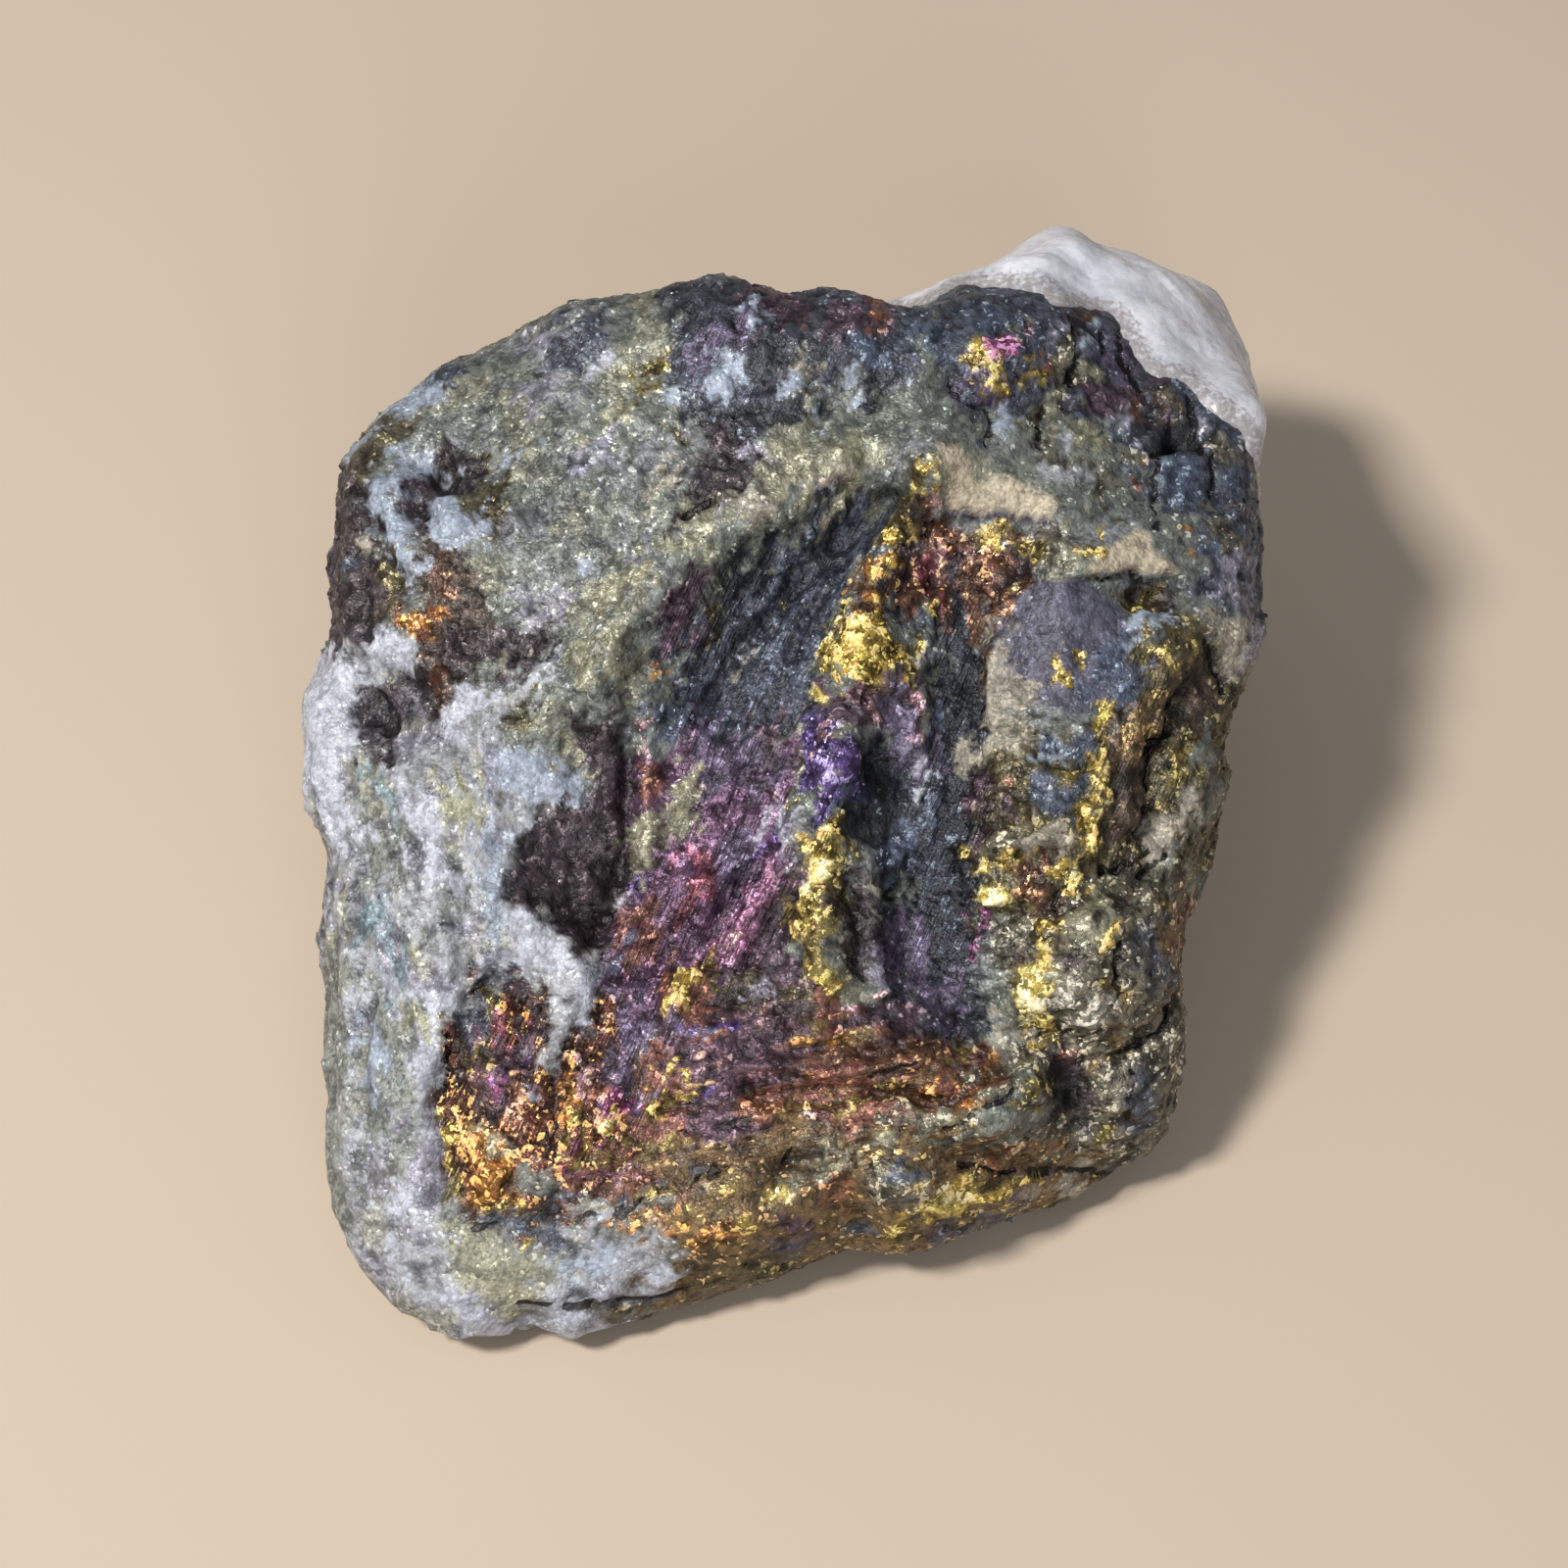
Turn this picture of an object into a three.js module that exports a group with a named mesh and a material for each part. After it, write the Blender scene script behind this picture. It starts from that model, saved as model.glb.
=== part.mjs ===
// A peacock ore specimen: one broken block of tarnished chalcopyrite and bornite grown through pale
// matrix, with a lump of milky quartz at its back right. It is one closed stone. Its broad face slopes
// up from a low front edge, and it rests on a small flat spot. Millimetres, +Z up, face towards -Y.
import * as THREE from 'three';
import { mergeVertices } from 'three/addons/utils/BufferGeometryUtils.js';
import { ImprovedNoise } from 'three/addons/math/ImprovedNoise.js';

// ---- Driving dimensions -------------------------------------------------------------------------
const FACE_POINT = new THREE.Vector3(0, -9, 21.5); // the middle of the broad face
const FACE_SLOPE = 29; // degrees that the broad face rises towards the back
const PLAN_RISE = 52; // degrees above level of the line that the plan below is drawn square to
const PLAN_TAPER = 230; // distance at which the sides of the plan would meet, so the block narrows upwards
const EDGE_SHARPNESS = 1.8; // per mm: a higher value leaves less rounding where two faces meet
const SEAM = 0.9; // mm: how widely the quartz and the ore run into each other
const MESH_DETAIL = 19; // 20 * (detail + 1)^2 triangles
const STONE = { name: 'ore_stone', color: 0x5f5f66, roughness: 0.5, metalness: 0.6 };

// The block's plan: its outline seen square to the plan line, x to the right and y up the face.
const ORE_PLAN = [
  [-26.5, 18.8], [-25.0, 22.1], [-23.5, 23.5], [-21.2, 24.8], [-16.5, 26.4], [-15.0, 27.5],
  [-12.4, 29.1], [-8.5, 29.2], [-6.8, 30.0], [-4.7, 30.3], [-2.2, 30.2], [0.0, 29.1],
  [2.9, 29.5], [7.4, 28.6], [10.3, 29.6], [15.0, 29.4], [16.2, 28.6], [20.0, 27.4],
  [21.2, 25.3], [23.5, 24.4], [24.8, 22.6], [27.1, 21.5], [28.2, 18.8], [28.8, 15.6],
  [28.3, 11.8], [28.6, 8.8], [27.2, 5.9], [26.0, 2.6], [26.2, 0.0], [25.2, -4.7],
  [23.5, -9.1], [23.7, -13.5], [23.5, -18.2], [22.1, -22.4], [18.8, -24.6], [14.7, -25.6],
  [10.0, -27.6], [7.4, -28.4], [5.3, -27.5], [2.9, -27.6], [-0.6, -29.6], [-3.5, -30.3],
  [-5.9, -31.5], [-9.4, -32.8], [-12.1, -33.2], [-14.1, -32.5], [-18.8, -33.4], [-21.2, -32.6],
  [-23.8, -31.5], [-26.2, -28.8], [-27.5, -25.0], [-27.9, -20.0], [-28.4, -16.5], [-27.4, -11.2],
  [-27.9, -7.1], [-27.6, -4.7], [-29.0, -1.8], [-29.0, 1.8], [-27.6, 6.5], [-26.5, 9.4],
  [-26.9, 12.4], [-26.7, 16.5],
];
const QUARTZ_PLAN = [
  [-1.0, 22.4], [3.0, 26.2], [7.6, 28.7], [10.0, 30.1], [12.9, 31.7], [15.3, 33.2], [16.6, 33.5],
  [18.8, 32.6], [22.6, 31.5], [25.3, 29.6], [27.4, 27.4], [28.3, 25.0], [28.3, 21.8], [24.0, 15.0],
  [12.0, 13.0], [1.0, 15.0],
];

// Broken faces. `toward` is the compass way that the face looks (0 is +X, 90 is +Y), `up` its tilt
// above level, and `at` a point on it, counted from FACE_POINT with z from the ground.
const ORE_FACES = [
  { name: 'broad face', toward: -90, up: 90 - FACE_SLOPE, at: [0, 0, 21.5] },
  { name: 'left bevel', toward: 220, up: 49, at: [-20, 0, 21.5] },
  { name: 'upper left dome', toward: 199, up: 73, at: [-13, 14, 29.8] },
  { name: 'top', toward: 90, up: 86, at: [-2, 26, 35.4] },
  { name: 'upper right bevel', toward: -31, up: 68, at: [17, 12, 28.8] },
  { name: 'right shoulder', toward: -42, up: 51, at: [22.5, 0, 21.5] },
  { name: 'lower right bevel', toward: -58, up: 45, at: [17.5, -9, 16.5] },
  { name: 'front side', toward: -73.5, up: 12, at: [4.7, -21.6, 2] },
  { name: 'front left side', toward: -88, up: 32, at: [-17, -23.6, 8.6] },
  { name: 'front left corner', toward: -132, up: 30, at: [-25, -25.6, 2] },
  { name: 'left side', toward: 182, up: 5, at: [-31, 0, 10] },
  { name: 'left back side', toward: 140, up: 6, at: [-26.0, 27.0, 22] },
  { name: 'back side', toward: 95, up: 9, at: [-4, 33.0, 30] },
  { name: 'right back side', toward: 50, up: 10, at: [21.9, 30.6, 24] },
  { name: 'right side', toward: 4, up: 5, at: [31.7, 6, 16] },
  { name: 'front underside', toward: -75, up: -85, at: [4.7, -21.2, 0.7] },
  { name: 'left underside', toward: 186, up: -80, at: [-26.6, -21.4, 1.9] },
  { name: 'right underside', toward: -8, up: -80, at: [23, -15, 2.2] },
  { name: 'back underside', toward: 92, up: -80, at: [-2, 31, 1.6] },
  { name: 'left undercut', toward: 178, up: -34, at: [-28, 0, 5.0] },
  { name: 'right undercut', toward: 4, up: -34, at: [26.4, 0, 5.0] },
  { name: 'back undercut', toward: 92, up: -40, at: [-2, 31, 7.0] },
];
const QUARTZ_FACES = [
  { name: 'quartz front', toward: -90, up: 60, at: [18, 26, 28.5] },
  { name: 'quartz crown', toward: 44, up: 66, at: [17, 40.6, 28.6] },
  { name: 'quartz right bevel', toward: 16, up: 44, at: [29.4, 31, 25.4] },
  { name: 'quartz back', toward: 88, up: 14, at: [17, 42.8, 24] },
  { name: 'quartz outer side', toward: 12, up: 8, at: [31.8, 32, 20] },
  { name: 'quartz lower corner', toward: 30, up: -34, at: [28, 36, 11] },
  { name: 'quartz left side', toward: 116, up: 12, at: [7.0, 37.4, 24] },
  { name: 'quartz underside', toward: 96, up: -52, at: [16, 36, 5] },
];

// Relief of the broad face, on the plan. A ridge or groove follows a path, with its height and width.
const RIDGES = [
  { name: 'plateau rim', rise: 1.3, width: 2.4, path: [[9.5, 20.6], [3.5, 18.9], [-1.5, 16.6], [-6, 13.2], [-9.6, 9.4], [-10.8, 5.6]] },
  { name: 'gold spine', rise: 1.7, width: 1.9, path: [[8.8, 19.6], [6.4, 14.4], [4.9, 10.4], [4.4, 6.8], [3.2, 2.6], [2.6, -3.0], [2.9, -7.6], [2.6, -12]] },
  { name: 'spine foot', rise: 0.8, width: 1.2, path: [[5.2, -4.5], [5.4, -8], [5.2, -13]] },
  { name: 'right shoulder', rise: 1.5, width: 5.5, path: [[15.5, 13], [16.4, 8], [15.6, 1], [15.6, -6], [17, -12]] },
  { name: 'top rim', rise: 0.7, width: 3.0, path: [[-13, 26.8], [-5, 27.6], [3, 26.6], [13, 27]] },
  { name: 'lower right boss', rise: 1.3, width: 3.2, path: [[19, -9], [19.4, -14]] },
  { name: 'front bulge', rise: 1.5, width: 2.8, path: [[6.6, -25.4], [8.2, -25]] },
  { name: 'matrix tongue', rise: 0.8, width: 2.2, path: [[-17.5, -6.5], [-14.6, -9.5], [-13.4, -13]] },
  { name: 'left roll', rise: 0.7, width: 3.2, path: [[-23.5, 2], [-22, -8], [-22.4, -20], [-23, -26]] },
  { name: 'diagonal dark band', rise: -1.3, width: 3.2, path: [[6.5, 17.0], [2, 13.4], [-1.6, 9.2], [-4.6, 5.4]] },
  { name: 'dark scoop', rise: -2.0, width: 3.3, path: [[11.6, 11.6], [10.8, 6], [10.2, 0], [10.2, -6], [10.8, -12], [12, -15.4]] },
  { name: 'spine hollow', rise: -1.1, width: 2.0, path: [[6.6, 0.5], [6.8, -5], [6.9, -11]] },
  { name: 'gold pocket', rise: -1.5, width: 2.4, path: [[7.6, 14.2], [11.5, 14.0], [14.4, 14.4]] },
  { name: 'right crack', rise: -1.0, width: 1.1, path: [[25.9, 7.2], [24.3, 4.6], [22.8, 1.6], [22.2, -1.4], [21.8, -3.6], [19.2, -4.9]] },
  { name: 'low right crack', rise: -0.8, width: 1.2, path: [[23.6, -12.6], [22.2, -14.6], [20.2, -16], [18.8, -17]] },
  { name: 'brown slot', rise: -1.4, width: 1.7, path: [[16.9, -15.2], [17.2, -18], [18.4, -20.4]] },
  { name: 'upper right slot', rise: -0.8, width: 1.2, path: [[20.4, 26.4], [20.8, 24.4], [21.4, 22.6]] },
  { name: 'front parting', rise: -0.7, width: 1.1, path: [[10.4, -22.6], [14, -22.9], [18, -22.8], [21.4, -23]] },
  { name: 'matrix parting', rise: -0.7, width: 1.1, path: [[-15.4, -11.6], [-18.2, -13.6], [-19.8, -17], [-20.6, -22], [-20.4, -25.8], [-17.4, -26.6], [-11, -26.3]] },
  { name: 'magenta slope', rise: -0.9, width: 4.2, path: [[-5.5, 0.5], [-6, -5], [-7.4, -10.5]] },
];

// A ledge is a step: the side to the left of its path stands `rise` higher and runs back level in `run`.
const LEDGES = [
  { name: 'plateau step', rise: 1.2, run: 9, path: [[-10.6, 4.4], [-9.2, 8.6], [-5.4, 12.2], [-0.6, 15.4], [4.0, 17.6]] },
  { name: 'tan shelf', rise: 0.9, run: 3, path: [[9.0, 16.7], [12.6, 16.4], [17.0, 15.4]] },
  { name: 'small tan shelf', rise: 0.8, run: 2.4, path: [[17.8, 12.2], [20.6, 13.2], [23.8, 11.8]] },
  { name: 'copper lip', rise: 1.5, run: 8, path: [[15.2, -17.4], [12.0, -16.6], [8.6, -15.0], [5.8, -14.2], [2.6, -13.2], [-1.2, -11.9], [-4.4, -11.8], [-7.0, -12.8]] },
  { name: 'second layer', rise: 0.8, run: 4, path: [[14.4, -20.0], [9.4, -19.6], [4.2, -20.2], [0.2, -21.4], [-3.8, -23.2], [-6.4, -24.6]] },
  { name: 'lowest layer', rise: 0.8, run: 3, path: [[10.0, -23.4], [4.8, -22.8], [0.0, -24.4], [-4.8, -25.6], [-9.0, -26.6]] },
];

// A knob stands up or a pit goes in round a point, with its radii along x and y.
const KNOBS = [
  { rise: 0.9, at: [-12.6, 27.0], size: [2.6, 2.2] },
  { rise: 1.0, at: [-4.4, 28.2], size: [3.2, 2.4] },
  { rise: 0.7, at: [3.2, 27.6], size: [2.6, 2.0] },
  { rise: 1.1, at: [13.0, 26.6], size: [3.4, 3.0] },
  { rise: 0.9, at: [-14.4, 22.6], size: [3.0, 2.6] },
  { rise: 0.7, at: [-20.0, 16.0], size: [1.7, 1.7] },
  { rise: 0.7, at: [-24.0, 19.2], size: [2.2, 3.6] },
  { rise: 1.0, at: [-27.4, 2.4], size: [2.6, 4.6] },
  { rise: 0.8, at: [-21.6, -1.5], size: [3.6, 3.0] },
  { rise: 0.9, at: [24.2, 20.0], size: [2.2, 2.4] },
  { rise: 0.8, at: [26.6, 14.6], size: [1.8, 2.6] },
  { rise: 0.8, at: [23.6, 8.4], size: [2.4, 2.2] },
  { rise: 1.0, at: [13.2, -2.4], size: [1.6, 1.8] },
  { rise: 0.9, at: [12.8, -5.6], size: [1.7, 1.5] },
  { rise: 0.9, at: [-18.6, -32.6], size: [2.0, 1.4] },
  { rise: 0.9, at: [-12.2, -32.6], size: [2.0, 1.4] },
  { rise: 0.7, at: [-13.0, -19.5], size: [4.6, 4.6] },
  { rise: 0.7, at: [8.4, -1.6], size: [1.8, 3.0] },
  { rise: -0.9, at: [-20.6, 18.8], size: [1.6, 1.2] },
  { rise: -1.1, at: [-24.0, 4.8], size: [1.8, 2.4] },
  { rise: -0.7, at: [-18.4, 9.0], size: [4.2, 2.6] },
  { rise: -0.9, at: [-12.4, -3.8], size: [3.6, 3.4] },
  { rise: -1.2, at: [24.2, 21.4], size: [1.0, 1.8] },
  { rise: -1.1, at: [21.4, 11.0], size: [1.6, 1.2] },
  { rise: -1.0, at: [7.6, -6.6], size: [1.0, 0.8] },
];

// ---- The plan and the way that it looks ----------------------------------------------------------
const radians = THREE.MathUtils.degToRad;

// The unit vector that looks `toward` a compass way, raised `up` degrees above level.
function heading(toward, up) {
  const level = Math.cos(radians(up));
  return new THREE.Vector3(level * Math.cos(radians(toward)), level * Math.sin(radians(toward)), Math.sin(radians(up)));
}

const planUp = heading(90, 90 - PLAN_RISE); // up the plan
const planOut = heading(-90, PLAN_RISE); // out of the plan, the way the face looks

// A point's place on the plan, and how far it stands out from FACE_POINT.
function onPlan(point) {
  const from = point.clone().sub(FACE_POINT);
  const out = from.dot(planOut);
  const spread = PLAN_TAPER / (PLAN_TAPER - out);
  return { x: from.x * spread, y: from.dot(planUp) * spread, out };
}

function smoothStep(low, high, value) {
  return THREE.MathUtils.smoothstep(value, low, high);
}

// A smooth curve's points through the ones given.
function curvePoints(points, closed, steps) {
  const through = points.map(([x, y]) => new THREE.Vector3(x, y, 0));
  return new THREE.CatmullRomCurve3(through, closed, 'centripetal').getPoints(steps * points.length);
}

// How far (x, y) lies from a path: `away` is positive on its left, `past` is how far beyond its ends.
function fromPath(x, y, path) {
  let best = { distance: Infinity, away: 0, past: 0 };
  for (let i = 0; i < path.length - 1; i++) {
    const alongX = path[i + 1].x - path[i].x;
    const alongY = path[i + 1].y - path[i].y;
    const length = Math.hypot(alongX, alongY);
    const share = ((x - path[i].x) * alongX + (y - path[i].y) * alongY) / (length * length);
    const held = THREE.MathUtils.clamp(share, 0, 1);
    const distance = Math.hypot(x - path[i].x - held * alongX, y - path[i].y - held * alongY);
    if (distance < best.distance) {
      const away = (alongX * (y - path[i].y) - alongY * (x - path[i].x)) / length;
      const isEnd = (i === 0 && share < 0) || (i === path.length - 2 && share > 1);
      best = { distance, away, past: isEnd ? Math.abs(share - held) * length : 0 };
    }
  }
  return best;
}

// Signed distance to a closed outline, positive outside it.
function outsideOutline(x, y, outline) {
  let distance = Infinity;
  let inside = false;
  for (let i = 0, j = outline.length - 1; i < outline.length; j = i++) {
    const a = outline[j];
    const b = outline[i];
    const share = ((x - a.x) * (b.x - a.x) + (y - a.y) * (b.y - a.y)) / ((b.x - a.x) ** 2 + (b.y - a.y) ** 2 || 1);
    const held = THREE.MathUtils.clamp(share, 0, 1);
    distance = Math.min(distance, Math.hypot(x - a.x - held * (b.x - a.x), y - a.y - held * (b.y - a.y)));
    if (a.y > y !== b.y > y && x < ((b.x - a.x) * (y - a.y)) / (b.y - a.y) + a.x) inside = !inside;
  }
  return inside ? -distance : distance;
}

// ---- Relief --------------------------------------------------------------------------------------
const STEPS_PER_POINT = 4;
const END_FADE = 1.6; // mm over which a ridge or ledge dies out past its ends
const LEDGE_WIDTH = 1.6; // mm across a ledge's riser

const ridges = RIDGES.map((ridge) => ({ ...ridge, path: curvePoints(ridge.path, false, STEPS_PER_POINT) }));
const ledges = LEDGES.map((ledge) => ({ ...ledge, path: curvePoints(ledge.path, false, STEPS_PER_POINT) }));
const orePlan = curvePoints(ORE_PLAN, true, STEPS_PER_POINT);
const quartzPlan = curvePoints(QUARTZ_PLAN, true, STEPS_PER_POINT);

function ridgeHeight(x, y) {
  let height = 0;
  for (const { rise, width, path } of ridges) {
    const { distance, past } = fromPath(x, y, path);
    if (distance < 3 * width) height += rise * Math.exp(-((distance / width) ** 2) - (past / END_FADE) ** 2);
  }
  return height;
}

function ledgeHeight(x, y) {
  let height = 0;
  for (const { rise, run, path } of ledges) {
    const { distance, away, past } = fromPath(x, y, path);
    if (distance > 3 * run) continue;
    const step = smoothStep(-LEDGE_WIDTH / 2, LEDGE_WIDTH / 2, away);
    height += rise * step * Math.exp(-Math.max(0, away) / run - (past / END_FADE) ** 2);
  }
  return height;
}

function knobHeight(x, y) {
  let height = 0;
  for (const { rise, at, size } of KNOBS) {
    height += rise * Math.exp(-(((x - at[0]) / size[0]) ** 2) - ((y - at[1]) / size[1]) ** 2);
  }
  return height;
}

// Broken-rock roughness: creased noise, so that it has dull ridges and flats between them.
const noise = new ImprovedNoise();
function creased(point, scale, seed) {
  return 0.5 - Math.abs(noise.noise(point.x / scale + seed, point.y / scale - seed, point.z / scale + 2 * seed));
}

function roughness(point, facing) {
  const coarse = THREE.MathUtils.lerp(1.9, 0.6, facing); // mm, the sides are rougher than the face
  return coarse * (creased(point, 13, 3.1) - 0.3) + 0.5 * coarse * (creased(point, 6, 7.7) - 0.3)
    + 0.35 * noise.noise(point.x / 3.2, point.y / 3.2, point.z / 3.2);
}

// ---- The stone as a field: negative inside, near enough mm from the surface ----------------------
function withNormal(face) {
  const at = new THREE.Vector3(face.at[0], face.at[1] + FACE_POINT.y, face.at[2]);
  const normal = heading(face.toward, face.up);
  return { normal, offset: normal.dot(at) };
}
const oreFaces = ORE_FACES.map(withNormal);
const quartzFaces = QUARTZ_FACES.map(withNormal);

// The block between its faces and inside its plan, with edges rounded a little.
function blockField(point, plan, faces, outline) {
  let sum = Math.exp(EDGE_SHARPNESS * outsideOutline(plan.x, plan.y, outline));
  for (const { normal, offset } of faces) sum += Math.exp(EDGE_SHARPNESS * (normal.dot(point) - offset));
  return Math.log(sum) / EDGE_SHARPNESS;
}

// 1 where the surface near a point looks out of the plan, 0 on the sides, back and underside.
function facingOf(point, plan) {
  let sum = Math.exp(EDGE_SHARPNESS * outsideOutline(plan.x, plan.y, orePlan)); // the rim looks sideways
  let out = 0;
  for (const { normal, offset } of oreFaces) {
    const share = Math.exp(EDGE_SHARPNESS * (normal.dot(point) - offset));
    out += share * normal.dot(planOut);
    sum += share;
  }
  return smoothStep(0.1, 0.6, out / sum);
}

function stoneField(point) {
  const plan = onPlan(point);
  const facing = facingOf(point, plan);
  const relief = ridgeHeight(plan.x, plan.y) + ledgeHeight(plan.x, plan.y) + knobHeight(plan.x, plan.y);
  const ore = blockField(point, plan, oreFaces, orePlan) - facing * relief;
  const quartz = blockField(point, plan, quartzFaces, quartzPlan);
  const grown = -Math.log(Math.exp(-ore / SEAM) + Math.exp(-quartz / SEAM)) * SEAM; // into one stone
  const rock = grown - roughness(point, facing);
  return Math.max(rock, -point.z); // the flat spot that it rests on
}

// ---- From a sphere's even triangles to the stone --------------------------------------------------
const TOP_SHARE = 0.56; // share of the triangles that goes to the face
const UNDER_SHARE = 0.14; // and to the underside: the sides have the rest
const CORE = new THREE.Vector3(1.5, FACE_POINT.y + 10, 14); // the middle of the stone's core plate
const CORE_HALF = new THREE.Vector2(17.5, 18); // half its width and length
const CORE_SLOPE = 14; // degrees, about halfway between the face and the ground
const REACH = 46; // mm: farther than the stone goes from its core plate

const coreUp = heading(90, CORE_SLOPE);
const coreOut = heading(-90, 90 - CORE_SLOPE);

// For a point of the unit sphere: where its ray leaves the core plate, and the way it goes.
function rayFor(unit) {
  const round = Math.atan2(unit.y, unit.x);
  const area = (1 - unit.z) / 2; // 0 at the sphere's top and 1 at its foot
  let across = 1;
  let lean = Math.PI / 2; // of the ray, from the plate's own normal
  const cornerLean = radians(62);
  if (area < TOP_SHARE) {
    across = Math.sqrt(area / TOP_SHARE);
    lean = cornerLean * across ** 2;
  } else if (area > 1 - UNDER_SHARE) {
    across = Math.sqrt((1 - area) / UNDER_SHARE);
    lean = Math.PI - cornerLean * across ** 2;
  } else {
    const down = (area - TOP_SHARE) / (1 - TOP_SHARE - UNDER_SHARE);
    lean = cornerLean + down * (Math.PI - 2 * cornerLean);
  }
  const corner = (Math.abs(Math.cos(round)) ** 5 + Math.abs(Math.sin(round)) ** 5) ** (-1 / 5);
  const out = new THREE.Vector3(Math.cos(round), 0, 0).addScaledVector(coreUp, Math.sin(round));
  const from = CORE.clone();
  from.x += CORE_HALF.x * corner * across * Math.cos(round);
  from.addScaledVector(coreUp, CORE_HALF.y * corner * across * Math.sin(round));
  const way = out.multiplyScalar(Math.sin(lean)).addScaledVector(coreOut, Math.cos(lean)).normalize();
  return { from, way };
}

// Walks in along a ray from outside, by the field's own distance each time, to the stone's surface.
const WALK_SHARE = 0.7; // of the distance, because the field is only near enough mm
const WALKS = 60;
const NEAR = 0.002; // mm
function surfacePoint(unit) {
  const { from, way } = rayFor(unit);
  let reach = REACH;
  for (let i = 0; i < WALKS; i++) {
    const gap = stoneField(from.clone().addScaledVector(way, reach));
    reach -= WALK_SHARE * gap;
    if (Math.abs(gap) < NEAR) break;
  }
  return from.addScaledVector(way, Math.max(reach, 0));
}

const FLAT_SNAP = 0.02; // mm: a point this near the ground lies on it
function stoneGeometry() {
  const sphere = new THREE.IcosahedronGeometry(1, MESH_DETAIL);
  sphere.deleteAttribute('normal');
  sphere.deleteAttribute('uv');
  const geometry = mergeVertices(sphere, 1e-4);
  const position = geometry.getAttribute('position');
  const unit = new THREE.Vector3();
  for (let i = 0; i < position.count; i++) {
    const place = surfacePoint(unit.fromBufferAttribute(position, i).normalize());
    position.setXYZ(i, place.x, place.y, place.z < FLAT_SNAP ? 0 : place.z);
  }
  geometry.computeBoundingBox();
  const middle = geometry.boundingBox.getCenter(new THREE.Vector3());
  geometry.translate(-middle.x, -middle.y, 0); // the origin is the middle of the box's base
  geometry.computeVertexNormals();
  return geometry;
}

const stone = new THREE.Mesh(
  stoneGeometry(),
  new THREE.MeshStandardMaterial({ color: STONE.color, roughness: STONE.roughness, metalness: STONE.metalness }),
);
stone.name = STONE.name;

const peacockOre = new THREE.Group();
peacockOre.add(stone);

export default peacockOre;
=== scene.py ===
import math

import bpy
import numpy as np
from mathutils import Euler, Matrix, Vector, noise


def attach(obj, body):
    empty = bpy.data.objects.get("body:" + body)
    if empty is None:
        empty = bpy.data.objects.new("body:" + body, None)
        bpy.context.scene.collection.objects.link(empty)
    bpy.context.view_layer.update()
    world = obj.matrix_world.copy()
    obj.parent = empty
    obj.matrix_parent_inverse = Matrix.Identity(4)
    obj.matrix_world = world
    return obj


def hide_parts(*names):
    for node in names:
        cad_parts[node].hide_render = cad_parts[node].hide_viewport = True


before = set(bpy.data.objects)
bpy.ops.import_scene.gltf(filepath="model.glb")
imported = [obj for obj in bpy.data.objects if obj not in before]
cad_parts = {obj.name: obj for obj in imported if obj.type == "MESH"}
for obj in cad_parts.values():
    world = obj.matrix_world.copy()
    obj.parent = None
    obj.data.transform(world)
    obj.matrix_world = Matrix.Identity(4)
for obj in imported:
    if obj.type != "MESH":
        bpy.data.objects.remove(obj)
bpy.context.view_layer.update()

MM = 0.001
STONE = "ore_stone"
BODY = "root"

# ---- The plan: where things lie on the broad face ---------------------------------------------------
# x runs to the right and y up the face, in mm, seen square to the plan line. Sides narrow with height.
FACE_POINT = Vector((-0.05, -9.19, 21.5))  # the middle of the broad face, where x and y are 0
PLAN_RISE = 52  # degrees above level of the line that the plan is drawn square to
PLAN_TAPER = 230  # mm from FACE_POINT to where the sides of the plan would meet
PLAN_UP = Vector((0, math.sin(math.radians(PLAN_RISE)), math.cos(math.radians(PLAN_RISE))))
PLAN_OUT = Vector((0, -math.cos(math.radians(PLAN_RISE)), math.sin(math.radians(PLAN_RISE))))

# ---- Camera, light and floor ------------------------------------------------------------------------
LENS = 88  # mm
SENSOR = 36  # mm
SKY_COLOUR = (0.92, 0.95, 1.0, 1)
SKY_STRENGTH = 0.26
FLOOR_COLOUR = (186, 171, 153)
FLOOR_WIDTH = 4  # m


def linear(colour):
    """A screen colour from 0 to 255 as the linear values that a shader takes, with alpha."""
    parts = [c / 255 for c in colour]
    return tuple(c / 12.92 if c <= 0.04045 else ((c + 0.055) / 1.055) ** 2.4 for c in parts) + (1.0,)


def aim(thing, place, target):
    thing.location = place
    thing.rotation_euler = (target - place).to_track_quat("-Z", "Y").to_euler()


def make_camera():
    data = bpy.data.cameras.new("camera")
    data.lens = LENS
    data.sensor_width = SENSOR
    data.clip_start = 0.01
    camera = bpy.data.objects.new("camera", data)
    bpy.context.collection.objects.link(camera)
    target = FACE_POINT * MM
    aim(camera, target + PLAN_OUT * PLAN_TAPER * MM, target)
    bpy.context.scene.camera = camera


def softbox(name, compass, rise, distance, size, watts, colour):
    """A square lamp that looks at the stone, its distance and size in m.

    compass 0 is towards the viewer, and -90 is on the viewer's left.
    """
    data = bpy.data.lights.new(name, "AREA")
    data.size = size
    data.energy = watts
    data.color = colour
    lamp = bpy.data.objects.new(name, data)
    bpy.context.collection.objects.link(lamp)
    a, e = math.radians(compass), math.radians(rise)
    away = Vector((math.sin(a) * math.cos(e), -math.cos(a) * math.cos(e), math.sin(e)))
    aim(lamp, FACE_POINT * MM + away * distance, FACE_POINT * MM)


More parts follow.
